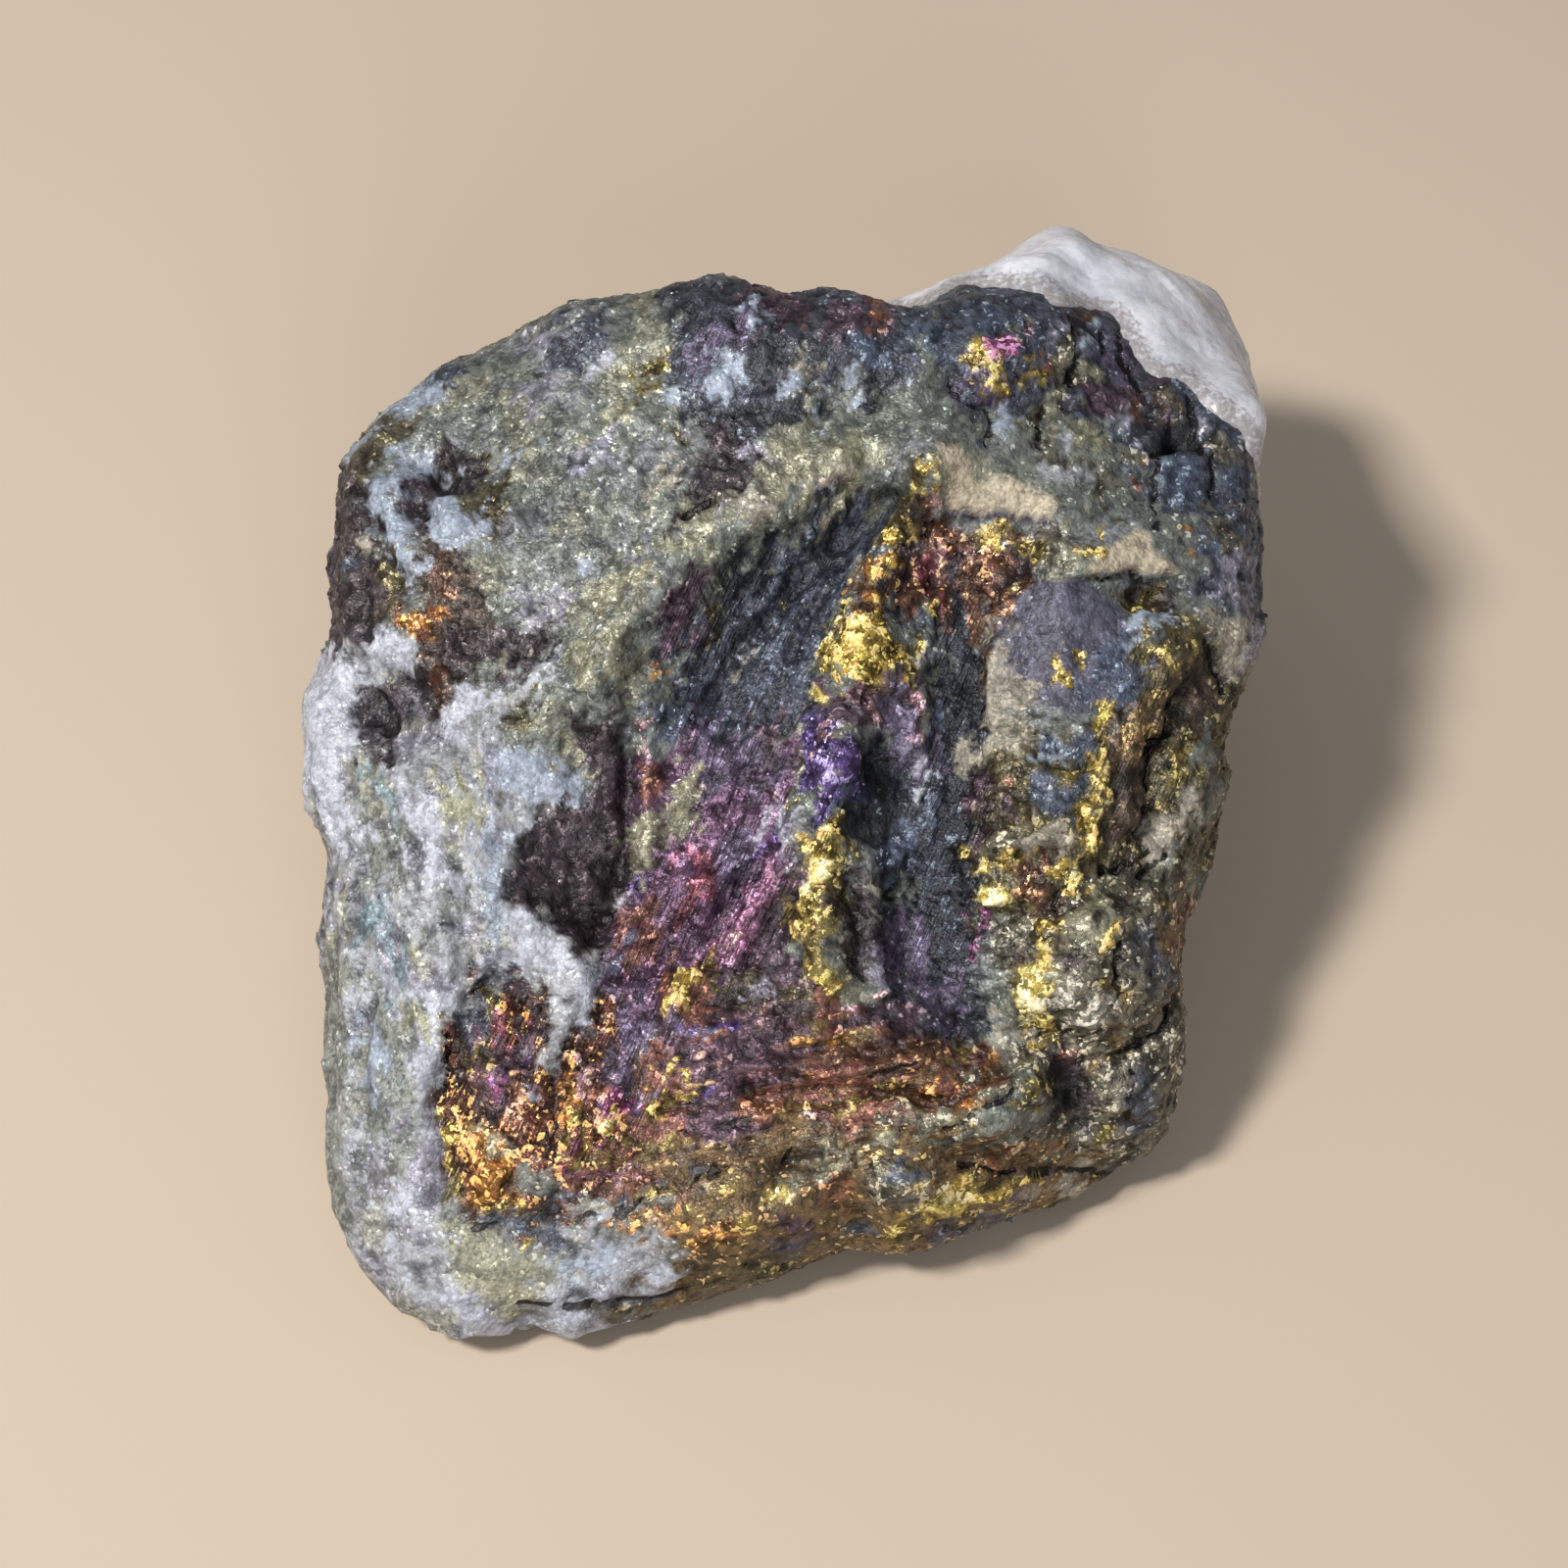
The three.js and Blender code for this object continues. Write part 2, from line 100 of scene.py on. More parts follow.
def light_the_studio():
    world = bpy.data.worlds.new("studio")
    world.use_nodes = True
    background = world.node_tree.nodes["Background"]
    background.inputs["Color"].default_value = SKY_COLOUR
    background.inputs["Strength"].default_value = SKY_STRENGTH
    bpy.context.scene.world = world
    bpy.context.scene.view_settings.view_transform = "Standard"
    softbox("key", compass=-62, rise=57, distance=0.62, size=0.10, watts=4.7, colour=(1.0, 0.97, 0.93))
    softbox("front fill", compass=8, rise=30, distance=0.8, size=0.3, watts=1.9, colour=(0.97, 0.97, 1.0))


def make_floor():
    bpy.ops.mesh.primitive_plane_add(size=FLOOR_WIDTH)
    floor = bpy.context.object
    floor.name = "floor"
    material = bpy.data.materials.new("plain floor")
    material.use_nodes = True
    shader = material.node_tree.nodes["Principled BSDF"]
    shader.inputs["Base Color"].default_value = linear(FLOOR_COLOUR)
    shader.inputs["Roughness"].default_value = 0.85
    floor.data.materials.append(material)


# ---- Finishes: what the stone is made of, patch by patch --------------------------------------------
# Each has its body colour, the colour of its painted glints, metal, roughness, the share of glinting
# grains, the height of its nuggets in mm, how far its flakes tilt, and how dark it is between its
# grains: the spread of its grains' tone and the painted shade in the pits where they meet.
FINISHES = {
    "grey green": ((98, 103, 96), (178, 185, 172), 0.25, 0.46, 0.11, 0.06, 0.32, 0.42),
    "yellow grey": ((132, 130, 108), (212, 210, 178), 0.30, 0.42, 0.15, 0.07, 0.34, 0.40),
    "slate": ((68, 73, 85), (134, 142, 156), 0.35, 0.45, 0.14, 0.09, 0.42, 0.54),
    "navy": ((58, 63, 76), (124, 134, 152), 0.40, 0.45, 0.12, 0.06, 0.40, 0.55),
    "night": ((38, 41, 50), (104, 114, 130), 0.45, 0.42, 0.10, 0.05, 0.40, 0.55),
    "coal": ((48, 51, 58), (112, 118, 128), 0.36, 0.47, 0.11, 0.09, 0.42, 0.54),
    "plum": ((82, 64, 76), (156, 126, 142), 0.45, 0.42, 0.14, 0.10, 0.46, 0.60),
    "plum black": ((56, 47, 52), (118, 102, 108), 0.42, 0.44, 0.11, 0.10, 0.44, 0.58),
    "magenta": ((88, 64, 86), (172, 134, 164), 0.50, 0.38, 0.14, 0.08, 0.46, 0.60),
    "rose": ((128, 84, 110), (206, 156, 184), 0.50, 0.38, 0.16, 0.08, 0.46, 0.56),
    "garnet": ((90, 60, 46), (230, 190, 136), 0.46, 0.36, 0.19, 0.13, 0.52, 0.68),
    "red magenta": ((122, 66, 80), (214, 136, 148), 0.55, 0.36, 0.18, 0.10, 0.52, 0.62),
    "violet": ((80, 58, 120), (188, 164, 228), 0.55, 0.34, 0.22, 0.12, 0.55, 0.62),
    "dusk violet": ((84, 74, 96), (152, 140, 170), 0.45, 0.42, 0.14, 0.08, 0.42, 0.56),
    "pink": ((166, 126, 134), (250, 218, 216), 0.50, 0.34, 0.28, 0.14, 0.55, 0.60),
    "salmon": ((170, 116, 94), (252, 214, 186), 0.50, 0.34, 0.30, 0.14, 0.55, 0.66),
    "copper": ((114, 74, 52), (230, 178, 132), 0.48, 0.38, 0.19, 0.10, 0.48, 0.62),
    "copper brown": ((98, 68, 52), (206, 162, 118), 0.40, 0.42, 0.15, 0.07, 0.40, 0.60),
    "rust": ((108, 68, 58), (212, 158, 124), 0.42, 0.40, 0.12, 0.05, 0.42, 0.58),
    "umber": ((104, 84, 54), (212, 188, 122), 0.42, 0.40, 0.15, 0.05, 0.42, 0.60),
    "ember": ((88, 52, 40), (244, 200, 122), 0.50, 0.34, 0.28, 0.13, 0.55, 0.68),
    "brown": ((62, 50, 43), (128, 106, 88), 0.40, 0.46, 0.11, 0.08, 0.42, 0.58),
    "fuchsia": ((148, 70, 118), (238, 164, 210), 0.50, 0.34, 0.30, 0.12, 0.50, 0.60),
    "orange gold": ((160, 106, 46), (255, 210, 120), 0.52, 0.32, 0.34, 0.14, 0.58, 0.72),
    "gold": ((170, 143, 58), (255, 238, 146), 0.50, 0.30, 0.42, 0.15, 0.58, 0.74),
    "bright gold": ((224, 202, 104), (255, 250, 200), 0.45, 0.28, 0.50, 0.14, 0.50, 0.48),
    "olive gold": ((116, 102, 54), (222, 204, 122), 0.48, 0.36, 0.26, 0.10, 0.50, 0.66),
    "olive": ((78, 71, 49), (168, 157, 106), 0.40, 0.40, 0.16, 0.09, 0.46, 0.62),
    "steel": ((102, 98, 84), (206, 200, 174), 0.45, 0.36, 0.20, 0.10, 0.50, 0.64),
    "silver": ((152, 150, 138), (236, 234, 218), 0.50, 0.32, 0.30, 0.12, 0.50, 0.56),
    "slate violet": ((76, 75, 90), (132, 133, 150), 0.30, 0.50, 0.08, 0.04, 0.24, 0.38),
    "slate blue": ((72, 82, 100), (150, 162, 178), 0.35, 0.42, 0.15, 0.08, 0.40, 0.50),
    "teal": ((106, 126, 134), (172, 194, 200), 0.20, 0.46, 0.12, 0.06, 0.32, 0.40),
    "lilac": ((126, 124, 138), (190, 188, 204), 0.25, 0.46, 0.14, 0.08, 0.38, 0.42),
    "beige grey": ((138, 132, 118), (194, 188, 170), 0.18, 0.52, 0.12, 0.06, 0.32, 0.42),
    "tan": ((163, 152, 131), (190, 180, 160), 0.05, 0.68, 0.07, 0.04, 0.22, 0.36),
    "pale matrix": ((136, 138, 143), (200, 203, 208), 0.05, 0.50, 0.11, 0.06, 0.30, 0.32),
    "white matrix": ((154, 158, 169), (208, 212, 221), 0.02, 0.46, 0.10, 0.045, 0.26, 0.22),
    "blue white": ((132, 142, 157), (196, 206, 219), 0.05, 0.44, 0.10, 0.045, 0.26, 0.24),
    "green matrix": ((112, 116, 110), (182, 186, 178), 0.12, 0.48, 0.12, 0.06, 0.32, 0.42),
    "lime matrix": ((136, 135, 112), (206, 204, 170), 0.12, 0.44, 0.14, 0.06, 0.32, 0.38),
    # Black is painted shade, laid in pits, holes and hollows.
    "black": ((14, 14, 15), (40, 40, 44), 0.30, 0.60, 0.02, 0.03, 0.20, 0.30),
}
FINISH_PARTS = ("body", "glint", "metal", "gloss", "glitter", "nugget", "flake", "gap")
COLOUR_PARTS = ("body", "glint")
FINISH_NAMES = list(FINISHES)
CALM = ("tan", "slate violet", "bright gold", "black")  # their edges are clean, and the others' ragged
CALM_SHARE = 0.2  # how much of the others' wander is left in a clean edge
STROKE_SHARE = 0.92  # how much of what lies under it a stroke covers
MATRIX_BORDER = 14  # mm left of the middle where the hidden rock turns to matrix

# Mottling: finish, size of its patches in mm, seed, raggedness, the noise where a patch starts and is
# full, and its share.
ROCK_PATCHES = [
    ("olive gold", 5, 6, 0.4, 0.32, 0.42, 1.0),
    ("plum", 5, 7, 0.3, 0.38, 0.46, 1.0),
]
MATRIX_PATCHES = [
    ("green matrix", 2.6, 13, 0.3, 0.12, 0.30, 0.8),
    ("white matrix", 3.1, 14, 0.4, 0.10, 0.35, 1.0),
    ("lilac", 2.2, 15, 0.3, 0.15, 0.35, 0.7),
    ("lime matrix", 2.4, 16, 0.3, 0.22, 0.40, 0.6),
    ("slate", 1.4, 17, 0.2, 0.30, 0.42, 0.6),
]

# Areas have a border round them: finish, softness of the border, and its points.
AREAS = [
    ("pale matrix", 0.8, [
        (-31, 9.6), (-26, 9.2), (-24.6, 9.4), (-22.4, 8.8),
        (-22.0, 6.4), (-20.6, 4.6), (-18.6, 5.6), (-16.2, 6.0),
        (-13.4, 8.2), (-13.0, 7.0), (-16.0, 4.6), (-16.6, 2.8), (-14.8, 1.0), (-11.6, 0.3), (-13.6, -1.0),
        (-15.6, -2.4), (-16.8, -4.6), (-16.4, -6.8), (-14.6, -8.0),
        (-12.4, -9.8), (-10.8, -11.4), (-11.4, -13.4),
        (-13.6, -15.6), (-14.6, -14.0), (-14.8, -12.0), (-16.4, -11.2),
        (-18.6, -12.0), (-19.8, -15.4), (-20.9, -18.4),
        (-20.9, -22.0), (-20.4, -25.6), (-18.0, -26.6), (-13.0, -26.0),
        (-9.6, -26.6), (-6.6, -27.2), (-5.6, -28.8),
        (-8.6, -31.8), (-10.0, -34.5), (-31, -36)]),
    ("navy", 0.8, [
        (5.4, 16.4), (2.6, 16.8), (0.6, 14.8), (-3.2, 14.0),
        (-5.4, 12.2), (-7.4, 10.4), (-8.2, 8.0), (-8.0, 5.0),
        (-6.8, 3.0), (-3.6, 2.4), (1.0, 2.6), (2.2, 6.2), (3.0, 9.4), (4.6, 12.4), (5.4, 14.8)]),
    ("magenta", 0.9, [
        (-10.0, 1.4), (-6.4, 2.0), (-2.0, 2.6), (0.6, 1.0), (1.0, -3.0),
        (0.4, -6.0), (-1.0, -9.0), (-2.6, -12.0),
        (-6.4, -12.8), (-9.4, -16.0), (-11.6, -13.6), (-10.6, -10.0), (-10.0, -6.0), (-10.8, -2.0)]),
    ("plum black", 0.9, [
        (-12.6, 4.0), (-10.2, 4.2), (-9.0, 0.6), (-9.4, -3.0), (-9.6, -7.2), (-11.0, -10.4), (-12.6, -9.8),
        (-14.8, -7.8), (-16.2, -6.6), (-16.4, -4.4), (-15.2, -2.4),
        (-13.2, -0.8), (-11.8, 0.6), (-12.6, 2.0)]),
    # The dark groove right of the gold spine: dark navy ore, its darkness partly the groove's painted shade.
    ("night", 0.7, [
        (9.0, 12.0), (11.6, 10.6), (11.9, 4.0), (11.6, -2.0), (11.8, -9.0), (12.2, -15.0), (9.0, -15.0),
        (5.6, -12.6), (4.6, -8.6), (5.2, -3.6), (6.0, 0.0), (6.4, 3.4), (9.2, 4.6), (9.4, 8.0)]),
    ("garnet", 0.8, [
        (8.0, 19.6), (9.0, 17.0), (11.0, 15.6), (15.4, 15.4), (15.0, 12.6),
        (13.4, 9.8), (11.0, 10.4), (8.0, 10.6),
        (4.6, 9.8), (5.4, 13.0), (7.0, 17.0)]),
    ("slate", 0.8, [
        (-7.4, 31), (1.2, 30.5), (9.0, 28.4), (11.0, 30.5), (17.0, 30.0),
        (21.0, 28.2), (24.5, 25.4), (29.4, 21.6), (29.4, 9.0),
        (24.0, 11.6), (22.4, 15.2), (19.8, 19.4), (17.4, 21.8), (14.0, 22.2),
        (9.0, 22.0), (4.4, 24.8), (1.4, 23.4),
        (-1.8, 22.0), (-5.6, 21.6), (-6.6, 24.0)]),
    ("slate violet", 0.5, [
        (12.5, 8.4), (14.0, 11.8), (18.0, 12.4), (20.0, 10.6),
        (21.6, 8.2), (21.4, 5.0), (19.4, 4.1), (16.8, 4.4),
        (13.8, 5.0), (12.7, 4.2)]),
    ("olive", 0.8, [
        (20.0, 12.0), (23.2, 11.4), (25.4, 8.8), (28.6, 8.6),
        (28.4, 4.0), (26.8, -1.0), (25.8, -5.6), (22.6, -4.6),
        (19.4, -5.6), (15.4, -8.6), (11.6, -7.6), (11.6, 1.4),
        (13.8, 3.2), (16.4, 3.4), (19.4, 3.6), (21.6, 5.0),
        (21.4, 8.4)]),
    ("steel", 0.8, [
        (16.6, -6.6), (19.6, -5.6), (24.0, -5.0), (25.4, -8.0), (24.6, -14.0), (24.2, -20.0), (22.6, -24.0),
        (14.6, -22.0), (10.2, -20.6), (12.4, -18.0), (14.4, -15.4), (14.2, -11.4), (15.4, -8.8)]),
    ("rust", 0.6, [
        (-7.6, -12.8), (-4.6, -11.8), (-0.8, -12.2), (3.4, -13.0), (7.2, -14.4), (10.0, -15.6), (13.8, -16.6),
        (12.4, -18.4), (8.4, -19.4), (5.6, -21.0), (1.6, -20.6), (-2.6, -22.6), (-7.0, -24.4), (-11.2, -26.0),
        (-10.4, -23.0), (-9.0, -20.0), (-8.4, -16.4)]),
    ("ember", 0.7, [
        (-18.2, -11.8), (-16.0, -11.1), (-14.9, -12.2), (-14.6, -14.2),
        (-13.9, -16.2), (-12.4, -14.6), (-10.8, -13.0),
        (-9.0, -15.6), (-8.8, -20.0), (-10.2, -23.4), (-12.0, -25.8),
        (-16.0, -26.2), (-18.8, -26.2), (-20.5, -25.0),
        (-20.9, -22.0), (-20.9, -18.4), (-19.7, -15.4)]),
    ("umber", 0.7, [
        (-7.0, -24.2), (-2.6, -22.4), (1.6, -20.4), (5.6, -20.8), (10.0, -20.4), (14.6, -21.6), (19.6, -22.8),
        (19.0, -25.2), (12.4, -26.6), (8.0, -29.0), (4.0, -28.0), (-1.0, -30.0), (-5.2, -31.6), (-8.6, -32.0),
        (-5.6, -28.6), (-7.4, -26.8), (-11.0, -26.2)]),
    ("gold", 0.3, [
        (2.5, 8.5), (3.3, 10.0), (4.4, 10.7), (5.6, 9.6), (7.3, 7.8),
        (7.8, 6.4), (6.4, 5.5), (4.6, 5.9), (3.5, 5.7),
        (3.0, 7.0)]),
]

# Plates are clean flat chips, and a thin strip of painted shade under one, that lie over the strokes too.
PLATES = [
    # Painted shade: a thin dark strip at the foot of the tan shelf.
    ("slate violet", 0.15, [
        (9.6, 16.8), (11.1, 16.5), (13.4, 16.5), (16.6, 16.1),
        (16.6, 15.5), (13.4, 15.9), (11.1, 15.9), (9.7, 16.2)]),
    ("tan", 0.25, [
        (9.2, 20.5), (10.6, 20.3), (11.0, 19.2), (11.5, 18.0),
        (12.2, 18.4), (13.2, 18.6), (14.4, 18.0), (16.4, 16.9),
        (16.3, 15.9), (13.4, 16.3), (11.1, 16.3), (9.7, 16.6), (9.6, 18.4)]),
    ("tan", 0.2, [
        (18.0, 12.7), (19.8, 14.2), (21.0, 15.2), (21.8, 14.8), (22.1, 13.8), (23.6, 12.6), (20.8, 12.7)]),
]

# Strokes are laid over them in order: finish, half width, and the points of the path.
STROKES = [
    # The plateau at the upper left.
    ("slate", 1.3, [(-13.6, 25.2), (-12.0, 27.0)]),
    ("blue white", 0.9, [(-26.2, 19.4), (-25.0, 21.6), (-23.5, 23.0), (-21.2, 23.9)]),
    ("slate", 0.5, [(-21.0, 24.4), (-19.6, 24.6)]),
    ("olive", 0.9, [(-26.2, 18.3), (-24.8, 20.0), (-23.6, 21.6)]),
    ("plum black", 1.8, [(-26.4, 16.8), (-26.0, 13.0), (-25.6, 9.4)]),
    ("plum black", 1.4, [(-20.4, 19.2), (-19.6, 18.0), (-21.2, 16.8)]),
    ("brown", 1.7, [(-20.8, 12.8), (-19.6, 11.4), (-19.0, 9.6)]),
    ("brown", 1.9, [(-20.8, 8.4), (-20.6, 6.6)]),
    ("plum black", 1.5, [(-18.8, 8.2), (-16.8, 8.0), (-15.2, 8.4)]),
    ("brown", 1.0, [(-23.8, 13.4), (-23.3, 10.6)]),
    ("olive", 0.6, [(-23.9, 13.0), (-23.5, 11.2)]),
    ("plum black", 1.0, [(-22.4, 6.6), (-21.4, 4.8)]),
    ("plum black", 1.3, [(-24.0, 4.8), (-24.4, 2.8)]),
    ("plum black", 0.8, [(-21.9, 17.2), (-21.6, 15.8)]),
    ("olive", 0.5, [(-18.2, 18.8), (-17.9, 15.2)]),
    ("blue white", 0.9, [(-22.2, 19.6), (-22.6, 18.2), (-24.0, 17.0)]),
    ("blue white", 1.0, [(-24.0, 16.4), (-22.9, 15.0)]),
    ("blue white", 0.7, [(-22.8, 14.8), (-22.3, 12.8)]),
    ("blue white", 1.2, [(-20.0, 15.9), (-19.5, 15.3)]),
    ("white matrix", 0.25, [(-20.1, 18.3)]),
    ("slate", 0.4, [(-26.2, 13.6), (-26.0, 12.2)]),
    ("beige grey", 0.3, [(-25.2, 14.8)]),
    ("copper brown", 0.9, [(-21.0, 12.6), (-20.2, 11.6)]),
    ("ember", 0.6, [(-22.6, 10.6), (-21.6, 9.4)]),
    ("orange gold", 0.5, [(-22.6, 10.3), (-22.2, 9.8)]),
    ("orange gold", 0.3, [(-20.8, 10.4), (-21.0, 9.6)]),
    ("copper", 0.6, [(-20.6, 7.0), (-20.2, 5.0)]),
    ("beige grey", 0.5, [(-16.4, 7.3)]),
    ("beige grey", 0.5, [(-15.6, 13.2)]),
    ("yellow grey", 0.5, [(-13.9, 15.0)]),
    ("lilac", 0.8, [(-12.9, 19.2), (-11.3, 19.3)]),
    ("slate", 0.4, [(-13.2, 18.0), (-12.4, 18.2)]),
    ("lilac", 0.5, [(-15.6, 23.8), (-14.6, 22.5)]),
    ("lilac", 0.7, [(-14.9, 26.3)]),
    ("white matrix", 0.7, [(-11.1, 24.8), (-10.7, 25.3)]),
    ("blue white", 0.5, [(-16.0, 19.8)]),
    ("blue white", 0.6, [(-12.4, 12.6), (-11.8, 13.4)]),
    ("lilac", 0.6, [(-15.4, 11.0), (-13.8, 10.4)]),
    ("yellow grey", 0.8, [(-11.0, 21.0), (-9.6, 22.6)]),
    # The dark top edge.
    ("coal", 1.8, [(-5.6, 28.8), (-2.6, 28.8), (-0.6, 27.0), (-1.4, 25.6)]),
    ("coal", 1.6, [(2.0, 27.2), (6.0, 26.4)]),
    ("coal", 1.2, [(-1.0, 24.0), (2.4, 25.2)]),
    ("plum", 0.8, [(-1.6, 30.0), (0.4, 28.2)]),
    ("dusk violet", 0.9, [(-3.2, 26.8), (-4.8, 25.6)]),
    ("slate blue", 0.9, [(4.0, 26.6), (6.4, 25.4)]),
    ("blue white", 0.7, [(-3.6, 24.2), (-4.4, 23.7)]),
    ("blue white", 0.4, [(-1.7, 28.3), (-2.4, 27.8)]),
    ("blue white", 0.3, [(-2.2, 24.6)]),
    ("olive gold", 0.7, [(-7.0, 25.4), (-8.3, 24.6)]),
    ("blue white", 0.5, [(-6.8, 23.5)]),
    ("night", 0.9, [(-4.9, 22.2), (-3.0, 21.6), (-0.4, 21.9)]),
    ("plum black", 1.4, [(-3.6, 20.2), (-3.2, 18.8), (-5.2, 17.4)]),
    ("lilac", 0.4, [(-2.6, 20.2), (-1.2, 19.4)]),
    ("olive", 0.5, [(-6.2, 21.2), (-6.6, 20.2)]),
    ("beige grey", 0.5, [(-7.3, 18.7), (-7.2, 17.8)]),
    # Along the plateau's rim: yellow-grey ore, its lightness partly painted light where the ridge is lit.
    ("yellow grey", 1.0, [(-10.6, 11.0), (-8.8, 13.0)]),
    ("yellow grey", 1.2, [(-5.8, 14.6), (-4.2, 16.0)]),
    ("yellow grey", 1.3, [(-0.6, 18.4), (2.8, 19.4), (5.0, 20.0)]),
    ("grey green", 1.0, [(-6.2, 12.6), (-2.6, 14.6), (0.8, 16.4)]),
    ("beige grey", 0.7, [(-2.2, 16.3), (-1.4, 17.0)]),
    ("beige grey", 0.8, [(2.4, 17.6), (3.6, 18.6)]),
    ("yellow grey", 1.0, [(-11.0, 8.4), (-10.6, 6.8)]),
    ("beige grey", 0.5, [(1.1, 25.7), (1.8, 25.3)]),
    ("salmon", 0.25, [(1.2, 26.2)]),
    ("blue white", 0.5, [(0.4, 23.6), (1.4, 24.0)]),
    ("blue white", 0.45, [(4.4, 24.6), (4.2, 23.6)]),
    ("night", 0.6, [(6.4, 24.5), (5.6, 23.4)]),
    ("white matrix", 0.22, [(1.6, 22.0), (2.2, 22.6)]),
    ("plum", 0.9, [(3.6, 28.2), (6.2, 28.2)]),
    ("copper", 0.4, [(4.6, 27.4), (5.6, 28.4)]),
    ("grey green", 1.5, [(6.0, 21.4), (9.0, 22.8), (11.6, 21.4)]),
    # Painted shade in two small pits above the navy slope.
    ("night", 0.35, [(4.0, 17.8)]),
    ("black", 0.28, [(6.2, 17.0), (6.7, 17.3)]),
    ("slate", 0.8, [(2.4, 16.4), (5.4, 16.2)]),
    # The upper right.
    ("slate blue", 1.0, [(8.8, 26.8), (9.4, 24.8)]),
    ("slate blue", 0.8, [(11.6, 27.6), (14.0, 28.0)]),
    ("slate", 1.0, [(10.8, 24.4), (11.6, 23.2), (14.0, 23.6), (15.0, 24.8)]),
    ("slate", 0.7, [(10.4, 28.9), (13.4, 29.3), (15.4, 29.0)]),
    ("grey green", 0.8, [(8.6, 25.6), (9.0, 24.2), (10.0, 23.2)]),
    ("dusk violet", 0.7, [(10.8, 24.0), (13.6, 23.4)]),
    ("olive gold", 0.8, [(11.4, 26.0), (11.9, 25.3)]),
    ("gold", 0.4, [(11.5, 25.9), (11.9, 25.2)]),
    ("fuchsia", 0.75, [(12.7, 26.3), (13.7, 26.2)]),
    ("pink", 0.5, [(13.8, 26.6), (14.3, 26.1)]),
    ("violet", 0.45, [(14.6, 25.8), (14.0, 25.4)]),
    ("pink", 0.3, [(10.2, 25.4)]),
    ("gold", 0.4, [(12.4, 24.7), (12.2, 24.0)]),
    ("gold", 0.25, [(15.0, 24.9), (14.8, 24.2)]),
    ("white matrix", 0.3, [(15.1, 27.8), (15.2, 27.4)]),
    ("yellow grey", 0.3, [(14.1, 27.8)]),
    ("lilac", 0.4, [(15.8, 27.3), (16.2, 27.1)]),
    ("copper", 0.3, [(15.9, 25.6), (16.4, 24.9)]),
    ("plum black", 0.5, [(17.2, 27.8), (17.3, 25.2), (17.5, 23.4)]),
    ("blue white", 0.3, [(18.0, 27.4), (18.0, 26.2)]),
    ("dusk violet", 0.6, [(19.9, 26.6), (20.2, 25.2)]),
    ("yellow grey", 0.5, [(18.3, 25.2), (18.8, 24.6)]),
    ("copper", 0.4, [(17.0, 28.6), (18.0, 28.2)]),
    ("yellow grey", 0.8, [(16.6, 23.8), (16.1, 22.8)]),
    ("blue white", 0.7, [(13.3, 21.8), (13.6, 20.8)]),
    ("slate blue", 0.4, [(12.3, 20.4)]),
    ("olive", 0.4, [(15.0, 22.4), (14.8, 20.6)]),
    ("grey green", 1.9, [(14.6, 19.4), (17.6, 18.6), (18.6, 20.4)]),
    ("steel", 0.6, [(15.6, 20.0), (17.0, 19.4)]),
    ("pale matrix", 0.5, [(15.4, 19.0), (17.6, 18.0)]),
    ("steel", 0.5, [(18.4, 18.4), (19.6, 17.0)]),
    ("yellow grey", 0.6, [(17.6, 21.4), (18.8, 20.4)]),
    ("beige grey", 0.4, [(16.2, 21.0)]),
    ("white matrix", 0.28, [(17.1, 20.6)]),
    ("steel", 0.7, [(16.8, 25.8), (17.8, 24.0)]),
    ("lilac", 0.5, [(19.0, 22.6), (20.4, 21.8)]),
    ("plum", 0.9, [(18.8, 23.4), (20.6, 23.6)]),
    ("orange gold", 0.4, [(21.1, 22.4)]),
    ("copper brown", 0.5, [(20.7, 22.6), (21.5, 22.0)]),
    ("slate blue", 0.45, [(20.0, 21.1)]),
    ("plum black", 0.8, [(22.8, 24.0), (22.6, 22.0)]),
    ("brown", 0.5, [(22.9, 23.4), (23.0, 21.8)]),
    ("steel", 0.35, [(23.3, 23.2), (23.2, 22.2)]),
    ("salmon", 0.16, [(23.4, 22.6)]),
    # Painted shade in the hollow at the foot of a crack.
    ("black", 0.5, [(22.6, 20.3), (23.8, 20.6), (24.4, 21.6)]),
    ("white matrix", 0.28, [(21.6, 20.4)]),
    ("steel", 0.5, [(20.8, 20.0), (22.0, 19.4)]),
    ("salmon", 0.25, [(21.0, 18.9), (20.5, 18.2)]),
    ("slate blue", 1.1, [(23.4, 18.9), (23.9, 17.0)]),
    ("teal", 0.3, [(22.8, 18.6)]),
    ("lilac", 0.5, [(25.2, 21.6), (25.8, 20.8)]),
    ("slate blue", 0.6, [(26.8, 18.9), (26.7, 17.8)]),
    ("steel", 0.7, [(25.8, 20.6), (27.2, 20.0)]),
    ("steel", 0.7, [(25.4, 16.0), (26.8, 15.0)]),
    ("salmon", 0.25, [(26.3, 15.2)]),
    ("slate blue", 0.6, [(25.4, 14.4)]),
    ("lilac", 0.8, [(27.2, 13.4), (27.4, 11.4)]),
    ("grey green", 1.2, [(20.4, 17.0), (22.8, 15.6), (24.2, 13.4)]),
    ("orange gold", 0.35, [(23.6, 14.4), (23.8, 13.8)]),
    # The gold and copper gully below the tan shelf.
    ("olive gold", 0.5, [(8.9, 19.5), (8.5, 18.4), (7.8, 17.0)]),
    ("gold", 0.22, [(8.9, 19.3), (8.7, 18.5)]),
    ("pink", 0.3, [(9.2, 17.3)]),
    ("plum black", 0.6, [(8.2, 16.2), (7.2, 14.0), (6.6, 12.2)]),
    ("red magenta", 0.5, [(8.3, 13.2), (8.8, 11.8)]),
    ("plum black", 0.6, [(10.6, 13.6), (10.2, 11.4)]),
    ("copper brown", 0.6, [(11.2, 10.8), (11.7, 8.8)]),
    ("salmon", 0.25, [(10.2, 15.2)]),
